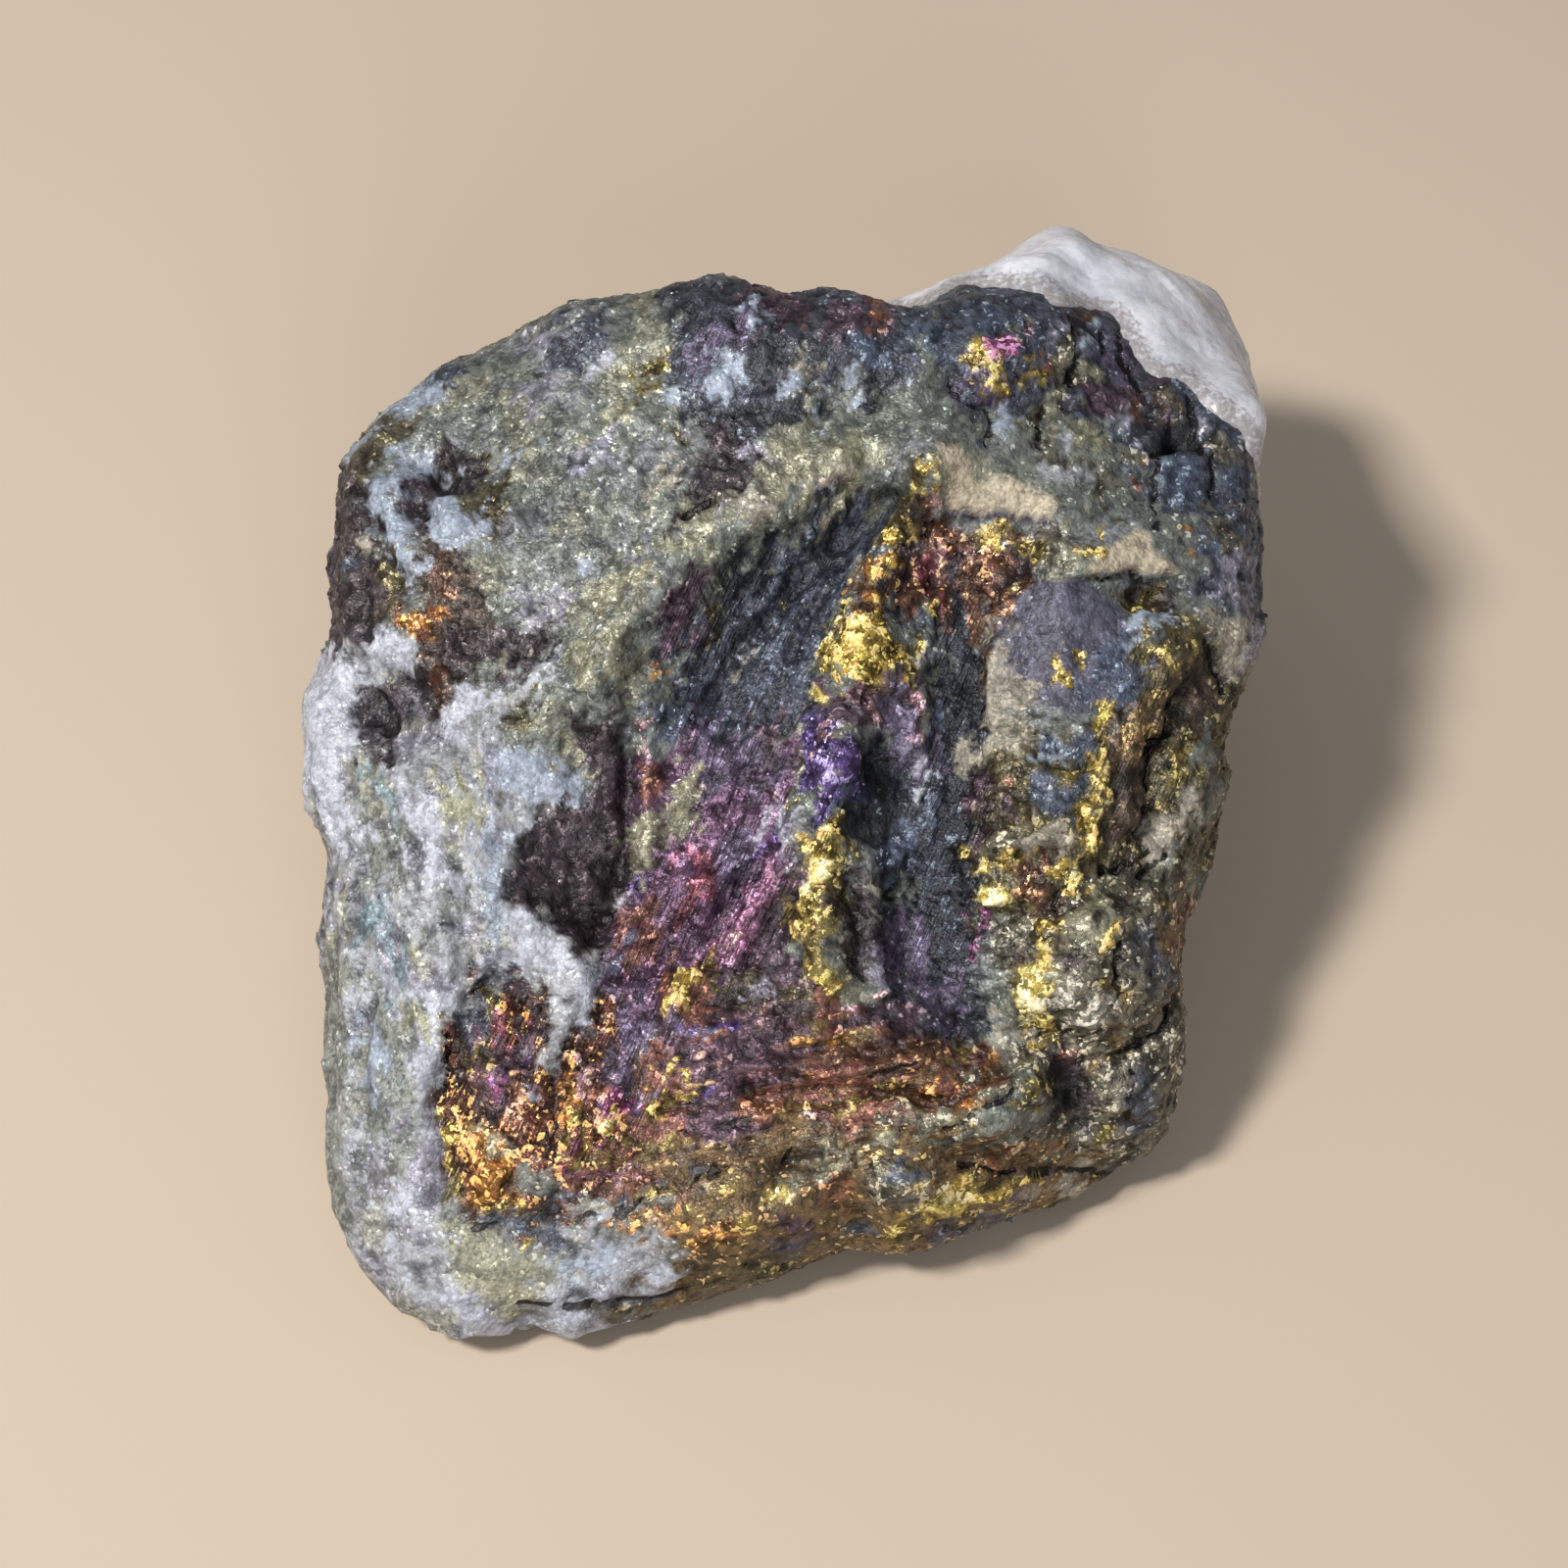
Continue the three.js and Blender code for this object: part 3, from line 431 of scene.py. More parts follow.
    ("olive gold", 0.6, [(7.5, 16.8), (6.8, 15.2)]),
    ("gold", 0.35, [(6.7, 14.8), (6.0, 13.4)]),
    ("orange gold", 0.5, [(5.6, 12.8), (5.2, 11.8)]),
    ("gold", 0.3, [(5.8, 11.6), (6.0, 11.0)]),
    ("olive gold", 0.7, [(11.6, 15.2), (13.8, 14.9)]),
    ("gold", 0.25, [(11.8, 15.0), (12.2, 15.1)]),
    ("gold", 0.25, [(13.0, 14.9), (13.5, 14.7)]),
    ("plum black", 0.5, [(14.9, 13.7), (13.4, 12.0)]),
    ("copper", 0.25, [(13.9, 12.2), (13.5, 10.8)]),
    ("silver", 0.4, [(14.0, 14.9)]),
    ("olive gold", 0.4, [(14.6, 14.4), (15.2, 13.8)]),
    ("steel", 0.9, [(16.2, 14.8), (16.4, 13.4)]),
    ("gold", 0.3, [(17.1, 15.9)]),
    ("gold", 0.35, [(19.4, 15.4), (19.2, 14.4), (18.6, 13.6)]),
    ("pink", 0.6, [(9.1, 14.2), (9.5, 13.9)]),
    ("salmon", 0.5, [(11.7, 13.2)]),
    ("bright gold", 0.2, [(13.8, 11.9)]),
    ("gold", 0.4, [(8.9, 10.2)]),
    ("slate", 0.7, [(7.6, 9.8), (8.4, 8.4)]),
    # The navy slope.
    ("night", 1.2, [(-1.2, 13.0), (-3.0, 10.6), (-4.4, 8.0)]),
    ("plum", 1.2, [(-5.0, 12.4), (-6.2, 11.0), (-6.8, 9.0)]),
    ("grey green", 0.6, [(-4.4, 13.8), (-3.7, 11.8)]),
    ("night", 0.7, [(-2.9, 13.6), (-2.3, 11.4)]),
    ("grey green", 0.5, [(0.6, 16.0), (1.9, 14.9)]),
    ("slate", 0.6, [(1.6, 14.6), (-0.4, 11.8), (-2.2, 9.0), (-3.6, 6.4)]),
    ("slate", 0.4, [(3.4, 13.6), (1.8, 10.6), (0.4, 8.2)]),
    ("slate", 0.9, [(-6.0, 6.6), (-6.8, 5.2)]),
    ("olive", 0.4, [(-3.8, 10.8), (-4.8, 9.0)]),
    ("yellow grey", 0.22, [(2.8, 15.0), (3.3, 15.5)]),
    ("beige grey", 0.3, [(-1.8, 7.6), (-1.2, 8.4)]),
    ("olive gold", 0.3, [(-0.9, 9.0)]),
    ("olive gold", 0.35, [(-1.0, 2.6)]),
    ("grey green", 0.9, [(-7.2, 6.8), (-6.6, 6.2)]),
    ("orange gold", 0.3, [(-8.0, 7.0)]),
    ("slate blue", 0.7, [(-6.2, 5.2), (-6.9, 3.4)]),
    # The magenta slope.
    ("dusk violet", 1.3, [(-5.2, 2.6), (-3.4, 1.6), (-1.6, 1.2)]),
    ("plum", 0.9, [(-1.2, 3.2), (-0.2, 1.6)]),
    ("pink", 0.35, [(-8.2, 3.4), (-8.1, 2.4)]),
    ("rust", 0.45, [(-8.1, 0.9), (-8.0, -0.9)]),
    ("salmon", 0.15, [(-8.1, 0.3)]),
    ("white matrix", 0.16, [(-7.1, 1.6)]),
    ("yellow grey", 1.15, [(-5.7, -0.4), (-6.0, -1.9)]),
    ("yellow grey", 0.95, [(-8.2, -2.6), (-8.4, -4.5)]),
    ("plum black", 1.0, [(-10.6, 0.6), (-10.0, -2.0)]),
    ("violet", 0.5, [(-9.0, -5.8)]),
    ("white matrix", 0.22, [(-9.5, -6.8), (-9.8, -7.4)]),
    ("red magenta", 0.8, [(-5.8, -5.6), (-5.4, -6.8)]),
    ("dusk violet", 1.0, [(-2.6, -2.8), (-3.2, -5.4)]),
    ("violet", 0.5, [(-1.4, -4.4), (-1.0, -5.2)]),
    ("lilac", 0.7, [(0.0, -1.8), (-0.4, -3.6)]),
    ("rose", 0.7, [(-0.4, -6.0), (-2.2, -8.0), (-4.0, -10.0)]),
    ("pink", 0.18, [(-3.4, -9.2), (-4.2, -10.0)]),
    ("plum", 0.8, [(-0.6, -8.6), (-1.8, -10.6)]),
    ("rust", 1.1, [(-8.7, -8.0), (-8.6, -9.6)]),
    ("slate blue", 0.4, [(-10.4, -10.4), (-10.2, -11.4)]),
    ("copper", 0.7, [(-6.4, -10.6), (-5.4, -11.2)]),
    ("dusk violet", 0.7, [(-9.2, -14.6), (-9.8, -13.4)]),
    # The violet knob, the pink lump and the gold spine.
    ("plum", 0.8, [(2.2, 4.6), (5.4, 4.6)]),
    ("night", 0.9, [(4.9, 2.4), (5.2, -0.8), (4.0, -3.0)]),
    ("plum", 0.9, [(0.0, -7.4), (-0.4, -10.4), (0.6, -12.2), (-1.8, -11.9)]),
    ("violet", 1.25, [(2.3, 2.8), (2.8, 1.0), (3.7, 0.0)]),
    ("pink", 0.28, [(2.6, 3.2), (2.9, 2.8)]),
    ("slate blue", 0.35, [(4.1, 0.2), (4.3, -0.8)]),
    ("bright gold", 0.3, [(2.3, 5.0), (1.9, 5.4)]),
    ("pink", 0.5, [(4.5, 5.0), (5.0, 4.4)]),
    ("dusk violet", 1.3, [(7.0, 5.4), (8.2, 3.4), (8.3, 2.0)]),
    ("pink", 0.55, [(7.7, 5.3), (8.2, 4.9)]),
    ("lilac", 0.45, [(8.4, 3.4), (8.3, 2.6)]),
    ("slate blue", 0.4, [(9.3, 3.8), (9.2, 3.0)]),
    ("white matrix", 0.35, [(8.2, 0.4)]),
    ("slate blue", 0.6, [(7.0, -2.0), (8.0, -2.6)]),
    ("olive gold", 0.5, [(0.6, -0.4), (1.0, -1.2)]),
    ("white matrix", 0.28, [(1.4, -2.2)]),
    ("gold", 0.85, [(2.4, -3.2), (2.0, -5.2), (1.4, -7.0), (1.0, -8.8)]),
    ("bright gold", 0.5, [(2.5, -5.2), (2.0, -6.2)]),
    ("bright gold", 0.3, [(1.1, -6.6), (1.2, -7.4)]),
    ("olive gold", 0.8, [(3.0, -4.4), (2.6, -7.8), (2.4, -9.8)]),
    ("olive gold", 0.7, [(2.4, -10.6), (2.2, -12.4)]),
    ("gold", 0.2, [(2.0, -10.4), (2.4, -12.2)]),
    ("plum black", 0.8, [(4.0, -6.6), (4.4, -8.4), (4.6, -10.6)]),
    ("salmon", 0.28, [(4.3, -6.3)]),
    ("slate blue", 0.22, [(3.3, -9.5)]),
    ("beige grey", 0.25, [(5.2, -6.6), (5.1, -8.6)]),
    ("slate blue", 0.75, [(5.8, -5.0), (7.6, -3.6)]),
    ("grey green", 0.7, [(6.2, -6.8), (7.4, -7.4)]),
    # Painted shade in a small hole.
    ("black", 0.3, [(6.5, -6.7)]),
    ("teal", 0.25, [(8.6, -6.9)]),
    ("dusk violet", 1.3, [(6.6, -9.6), (7.6, -11.8), (9.6, -13.0)]),
    ("lilac", 0.35, [(5.6, -10.4), (5.6, -12.4)]),
    # The right shoulder.
    ("beige grey", 0.7, [(13.0, 9.0), (12.7, 6.0), (12.8, 4.2), (14.4, 5.2)]),
    ("slate blue", 1.5, [(19.2, 5.8), (20.4, 7.2)]),
    ("gold", 0.25, [(17.2, 8.2), (16.7, 6.8), (16.7, 5.8)]),
    ("brown", 0.9, [(20.8, 11.2), (22.6, 11.0)]),
    ("olive gold", 0.4, [(20.8, 10.6), (22.6, 11.4)]),
    # Painted shade in a small pit.
    ("black", 0.3, [(23.2, 11.6), (23.4, 10.8)]),
    ("blue white", 0.45, [(21.2, 9.0), (22.8, 9.9)]),
    ("slate blue", 0.7, [(15.8, 2.8), (17.8, 2.2)]),
    ("blue white", 0.25, [(15.2, 2.2), (17.4, 1.8)]),
    ("beige grey", 0.9, [(11.4, 2.0), (13.4, 2.8)]),
    ("gold", 0.5, [(19.2, 3.8), (18.9, 1.2), (18.4, -1.0), (18.0, -3.4)]),
    ("olive gold", 0.4, [(16.4, 1.0), (17.2, 0.4)]),
    ("plum", 1.0, [(11.2, -0.4), (11.8, -1.6)]),
    ("salmon", 0.28, [(13.2, 0.0)]),
    ("slate blue", 0.9, [(15.8, -0.6), (16.6, -1.4)]),
    ("silver", 0.35, [(14.6, -1.4)]),
    ("beige grey", 0.6, [(14.9, -3.2), (16.4, -3.6)]),
    ("steel", 0.9, [(13.2, -3.2), (13.4, -4.2)]),
    ("gold", 0.35, [(11.8, -4.2), (12.0, -5.0)]),
    ("gold", 0.4, [(14.8, -4.4), (13.8, -5.0)]),
    ("garnet", 0.9, [(15.0, -5.2), (15.2, -7.2)]),
    ("gold", 0.5, [(16.6, -5.8), (17.8, -5.6)]),
    ("steel", 0.8, [(13.4, -8.6), (13.6, -10.6)]),
    ("bright gold", 0.6, [(12.2, -6.6), (13.2, -6.8)]),
    ("fuchsia", 0.4, [(11.8, -9.0), (12.2, -9.8)]),
    ("brown", 0.4, [(14.7, -8.4), (14.4, -11.2)]),
    ("brown", 0.4, [(20.3, -5.8), (19.9, -8.6)]),
    ("plum black", 0.4, [(17.9, -10.2), (17.4, -11.4)]),
    ("umber", 0.7, [(22.9, -7.4), (23.4, -12.4)]),
    ("umber", 0.5, [(19.8, -15.2), (19.0, -16.6)]),
    ("brown", 1.2, [(21.6, 4.4), (20.4, 1.6), (20.4, -1.8)]),
    ("umber", 0.6, [(22.4, 5.4), (20.8, 2.8), (20.2, 0.4)]),
    ("brown", 0.7, [(22.6, 7.4), (23.6, 6.6)]),
    ("olive gold", 0.5, [(22.8, 8.4), (24.0, 7.6)]),
    ("brown", 1.0, [(24.8, 6.2), (24.4, 3.6)]),
    ("olive gold", 0.5, [(24.4, 2.0), (23.6, -0.6)]),
    ("salmon", 0.25, [(26.2, 9.4), (26.8, 8.8)]),
    ("beige grey", 1.2, [(26.4, 9.2), (27.0, 7.4)]),
    ("lilac", 0.5, [(28.2, 9.6), (28.0, 7.6)]),
    ("beige grey", 0.9, [(22.4, -3.0), (23.8, -2.2)]),
    ("grey green", 0.8, [(25.2, 2.2), (25.6, -1.8)]),
    ("gold", 0.6, [(16.0, -8.8), (16.2, -10.2), (15.0, -12.4)]),
    ("fuchsia", 0.28, [(16.1, -9.2)]),
    ("gold", 0.35, [(19.4, -8.8), (19.6, -9.8)]),
    ("copper brown", 0.5, [(24.2, -6.4), (23.8, -9.8)]),
    ("yellow grey", 0.9, [(18.0, -8.2), (18.6, -7.2)]),
    ("slate", 0.8, [(21.8, -9.0), (22.6, -11.6)]),
    # The lower right.
    ("bright gold", 0.6, [(14.6, -11.6), (15.0, -13.6)]),
    ("gold", 0.45, [(15.4, -14.2), (15.6, -15.4)]),
    ("silver", 0.9, [(16.6, -12.4), (18.6, -13.6)]),
    ("silver", 0.5, [(19.4, -14.2), (19.8, -13.4)]),
    ("gold", 0.4, [(19.6, -12.2), (20.2, -12.8)]),
    ("beige grey", 0.5, [(12.6, -14.2), (13.4, -15.6)]),
    ("plum black", 1.1, [(16.9, -16.6), (17.1, -19.4)]),
    # Painted shade deep in the hollow.
    ("black", 0.5, [(16.8, -17.6), (17.2, -19.0)]),
    ("salmon", 0.4, [(17.1, -15.4), (17.3, -16.2)]),
    ("orange gold", 0.3, [(13.5, -16.7), (12.5, -17.4)]),
    ("grey green", 1.3, [(13.2, -19.6), (14.8, -19.2)]),
    ("olive gold", 0.45, [(15.4, -17.6), (15.4, -19.0)]),
    ("steel", 0.7, [(15.6, -21.6), (19.8, -21.4)]),
    ("olive gold", 0.5, [(18.8, -21.0), (19.4, -20.8)]),
    ("slate", 0.9, [(21.2, -17.4), (21.6, -19.6)]),
    # The copper shelf.
    ("plum", 1.5, [(-6.0, -17.4), (-2.6, -17.2)]),
    ("plum", 1.2, [(-5.4, -21.6), (-2.4, -20.2)]),
    ("umber", 1.0, [(-8.0, -22.8), (-6.2, -23.0), (-3.6, -22.4)]),
    ("copper brown", 1.2, [(1.2, -14.8), (4.4, -16.2), (8.2, -16.6)]),
    ("umber", 0.9, [(6.8, -18.2), (11.4, -18.8)]),
    ("olive", 0.5, [(-4.3, -12.3), (-2.4, -12.2), (0.4, -13.0)]),
    ("plum black", 0.8, [(-2.4, -13.5), (0.4, -14.2)]),
    ("plum", 1.1, [(-3.4, -15.2), (-0.4, -16.2)]),
    ("dusk violet", 0.9, [(-6.6, -15.4), (-5.4, -15.0)]),
    ("violet", 0.55, [(-5.4, -15.3), (-4.2, -15.0)]),
    ("blue white", 0.2, [(-5.4, -15.9)]),
    ("salmon", 0.35, [(-4.8, -16.0), (-4.4, -16.2)]),
    ("umber", 0.8, [(1.0, -14.6), (3.6, -15.2)]),
    ("orange gold", 0.3, [(1.4, -15.0), (3.0, -15.6)]),
    ("plum", 0.9, [(5.8, -14.0), (7.6, -15.2)]),
    ("pink", 0.22, [(5.5, -12.8), (5.4, -13.6)]),
    ("copper brown", 0.7, [(1.6, -16.6), (4.6, -16.4), (7.4, -16.0)]),
    ("lilac", 0.4, [(-1.2, -11.9), (-0.8, -12.2)]),
    ("gold", 0.3, [(-6.7, -14.4), (-6.8, -13.4), (-6.2, -12.8), (-5.3, -11.8)]),
    ("olive gold", 0.5, [(9.2, -16.2), (10.2, -16.2)]),
    ("plum", 0.5, [(10.2, -17.0), (11.4, -17.4)]),
    ("copper", 0.8, [(9.0, -18.6), (11.6, -18.6)]),
    ("orange gold", 0.35, [(9.6, -18.2), (11.8, -19.0)]),
    ("plum", 1.2, [(-5.2, -19.8), (-4.8, -21.2)]),
    ("violet", 0.22, [(-4.6, -18.7)]),
    ("plum black", 0.5, [(-2.5, -19.0), (-2.1, -18.3)]),
    ("copper", 0.8, [(-1.2, -18.6), (0.8, -18.8)]),
    ("plum black", 0.25, [(-0.6, -19.6), (0.2, -19.4)]),
    ("pink", 0.25, [(-1.2, -19.9), (-1.0, -20.3)]),
    ("olive gold", 0.5, [(2.2, -18.8), (5.0, -19.1)]),
    ("bright gold", 0.25, [(7.3, -19.4), (7.9, -19.7)]),
    ("steel", 0.6, [(5.8, -20.2), (7.8, -20.4)]),
    ("steel", 0.4, [(0.6, -20.5), (1.6, -20.6)]),
    ("umber", 0.6, [(-2.8, -21.2), (1.4, -21.4), (6.0, -21.4)]),
    # The lower band and rim.
    ("slate", 0.4, [(-9.4, -25.0), (-7.8, -24.2), (-6.0, -23.6)]),
    ("olive gold", 0.4, [(-8.4, -25.4), (-6.0, -24.8), (-3.6, -24.4)]),
    ("brown", 0.7, [(-0.2, -23.1), (1.2, -22.5)]),
    ("yellow grey", 0.35, [(0.5, -24.2), (1.8, -23.4), (3.1, -22.4), (4.6, -22.0)]),
    ("bright gold", 0.22, [(-1.1, -24.7), (0.1, -24.4)]),
    ("copper", 0.8, [(2.6, -24.0), (3.6, -24.6)]),
    ("steel", 1.4, [(6.2, -23.6), (7.4, -24.2)]),
    ("slate blue", 0.4, [(6.4, -24.0), (7.2, -23.4)]),
    ("silver", 0.3, [(8.0, -24.1), (8.3, -23.6)]),
    ("orange gold", 0.5, [(-4.8, -27.4), (-4.0, -26.4)]),
    ("gold", 0.3, [(-2.9, -26.0), (-2.4, -26.8)]),
    ("orange gold", 0.5, [(-8.2, -26.6), (-7.4, -26.2)]),
    ("ember", 0.5, [(-5.2, -28.0)]),
    ("plum", 0.6, [(0.0, -26.0), (1.2, -26.3)]),
    ("pink", 0.2, [(1.6, -26.5)]),
    ("slate", 0.6, [(0.2, -27.6), (1.4, -27.4)]),
    ("gold", 0.4, [(6.8, -26.1), (6.4, -27.2)]),
    ("olive gold", 0.5, [(6.0, -26.6), (7.4, -27.4)]),
    ("olive", 0.7, [(-4.6, -29.8), (-2.0, -29.2), (0.4, -28.6)]),
    ("slate", 0.5, [(4.0, -26.8), (5.0, -26.4)]),
    ("olive gold", 0.6, [(10.4, -24.2), (13.4, -24.2)]),
    ("gold", 1.0, [(9.0, -24.6), (10.3, -25.0)]),
    ("bright gold", 0.7, [(9.2, -24.6), (10.1, -25.0)]),
    ("copper", 0.3, [(10.6, -21.9), (14.0, -21.8)]),
    ("beige grey", 0.4, [(9.2, -22.0), (9.6, -21.7)]),
    ("dusk violet", 0.4, [(14.4, -23.2), (15.0, -24.0)]),
    ("slate", 0.5, [(9.0, -27.2), (12.6, -26.0)]),
    ("beige grey", 0.7, [(16.4, -24.2), (18.0, -24.0)]),
    # The glittering lower left.
    ("plum", 1.3, [(-18.4, -16.2), (-16.0, -17.2)]),
    ("garnet", 1.0, [(-12.2, -15.4), (-12.6, -18.0)]),
    ("slate", 0.8, [(-16.8, -12.0), (-18.4, -13.6), (-19.4, -15.2)]),
    ("plum black", 0.4, [(-16.0, -11.8), (-15.4, -13.4), (-15.1, -15.8)]),
    ("olive gold", 0.4, [(-17.2, -12.8), (-17.6, -13.6)]),
    ("red magenta", 0.5, [(-17.4, -14.6), (-16.4, -15.0)]),
    ("olive gold", 0.4, [(-18.6, -17.0), (-18.0, -16.2)]),
    ("fuchsia", 0.35, [(-17.2, -17.8), (-16.8, -17.6)]),
    ("violet", 0.3, [(-17.0, -18.0)]),
    ("violet", 0.25, [(-15.4, -17.4)]),
    ("blue white", 0.3, [(-15.1, -18.3)]),
    ("plum black", 0.5, [(-18.4, -18.8), (-16.4, -19.0)]),
    ("gold", 0.35, [(-20.0, -19.8), (-19.8, -20.8)]),
    ("gold", 0.35, [(-20.2, -21.6), (-20.0, -22.6)]),
    ("yellow grey", 0.4, [(-18.2, -21.2), (-17.0, -21.6)]),
    ("salmon", 0.5, [(-16.2, -19.8), (-15.8, -20.8)]),
    ("orange gold", 1.2, [(-17.8, -22.9), (-17.4, -24.4)]),
    ("olive gold", 0.5, [(-20.2, -24.0), (-19.6, -25.4)]),
    ("plum black", 0.4, [(-18.9, -24.2), (-18.5, -25.4)]),
    ("gold", 0.4, [(-17.4, -25.5), (-16.0, -25.4)]),
    ("grey green", 0.9, [(-15.2, -23.4), (-14.2, -24.2)]),
    ("slate", 0.5, [(-13.8, -25.2), (-12.4, -24.8)]),
    ("plum black", 0.6, [(-12.4, -14.4), (-11.7, -15.2)]),
    ("plum black", 0.3, [(-13.6, -15.4), (-13.3, -16.6)]),
    ("pink", 0.4, [(-11.2, -16.2), (-11.0, -16.8)]),
    ("orange gold", 0.5, [(-13.2, -18.4), (-12.8, -20.2)]),
    ("pink", 0.3, [(-12.0, -16.6), (-12.2, -18.4)]),
    ("olive gold", 0.7, [(-12.8, -20.8), (-10.6, -21.8)]),
    ("gold", 0.3, [(-11.8, -20.4), (-11.0, -21.4)]),
    ("fuchsia", 0.3, [(-10.0, -19.4), (-10.2, -20.6)]),
    ("bright gold", 0.3, [(-11.0, -20.0), (-10.7, -20.6)]),
    ("salmon", 0.5, [(-11.6, -17.8), (-11.0, -18.8)]),
    ("red magenta", 0.4, [(-12.4, -22.4), (-11.8, -23.1)]),
    ("pink", 0.35, [(-10.9, -23.2), (-10.2, -23.5)]),
    ("dusk violet", 0.9, [(-9.2, -14.4), (-9.4, -16.8), (-10.0, -18.4)]),
    ("gold", 0.4, [(-7.8, -18.8), (-7.5, -19.6)]),
    ("gold", 0.5, [(-6.4, -17.6), (-5.9, -18.2)]),
    ("olive gold", 0.5, [(-8.8, -21.6), (-7.9, -22.2)]),
    ("copper", 0.7, [(-12.4, -24.6), (-10.2, -25.0)]),
    # The matrix.
    ("white matrix", 1.8, [(-27.6, 6.2), (-28.2, 3.0), (-28.0, -0.6)]),
    ("white matrix", 0.9, [(-23.8, 8.2), (-22.8, 7.6)]),
    ("white matrix", 0.7, [(-19.8, 4.0), (-18.2, 5.2)]),
    ("blue white", 1.3, [(-16.6, 1.4), (-15.0, 0.2), (-13.4, 0.4)]),
    ("lime matrix", 1.1, [(-19.8, 0.2), (-18.6, -1.2)]),
    ("green matrix", 1.3, [(-24.4, -4.6), (-24.6, -5.6)]),
    ("white matrix", 1.3, [(-22.0, -2.6), (-20.6, -4.0)]),
    ("slate", 0.7, [(-27.0, -6.2), (-27.0, -7.6)]),
    ("teal", 0.6, [(-24.8, 0.4), (-24.2, -0.6)]),
    ("teal", 0.9, [(-24.6, -8.4), (-23.8, -9.4)]),
    ("slate", 0.45, [(-17.6, -5.6), (-17.0, -5.8)]),
    ("blue white", 0.8, [(-17.4, -3.4), (-17.6, -7.4)]),
    ("white matrix", 1.2, [(-16.0, -8.8), (-14.8, -9.8), (-13.6, -11.0)]),
    ("pale matrix", 0.9, [(-13.2, -12.2), (-13.6, -14.0)]),
    ("pale matrix", 0.3, [(-13.9, -14.8), (-14.2, -16.6)]),
    ("green matrix", 1.2, [(-23.6, -13.0), (-23.8, -18.0), (-23.4, -22.0)]),
    ("green matrix", 1.6, [(-27.2, -11.4), (-27.6, -16.0), (-27.2, -20.0), (-27.0, -24.4)]),
    ("white matrix", 0.9, [(-20.6, -12.6), (-21.4, -15.0), (-21.6, -17.2)]),
    ("lilac", 1.0, [(-21.8, -20.0), (-21.8, -24.0)]),
    ("blue white", 0.6, [(-24.6, -15.6), (-24.4, -17.8)]),
    ("lime matrix", 0.7, [(-22.8, -12.0), (-22.6, -13.0)]),
    ("lime matrix", 1.7, [(-18.6, -28.2), (-16.6, -29.6)]),
    ("green matrix", 1.0, [(-15.4, -27.0), (-13.6, -27.2)]),
    ("slate", 0.5, [(-16.8, -26.8), (-13.4, -26.6)]),
    ("blue white", 0.9, [(-12.8, -29.0), (-10.4, -28.6)]),
    ("white matrix", 0.7, [(-18.8, -32.4), (-16.6, -32.0)]),
    ("white matrix", 0.7, [(-13.2, -32.0), (-12.2, -32.4)]),
    ("olive", 0.8, [(-10.2, -32.2), (-8.4, -32.0)]),
    ("yellow grey", 0.5, [(-13.4, 1.6), (-12.0, 1.2)]),
    ("olive", 0.5, [(-16.2, 3.8), (-15.0, 4.2)]),
]

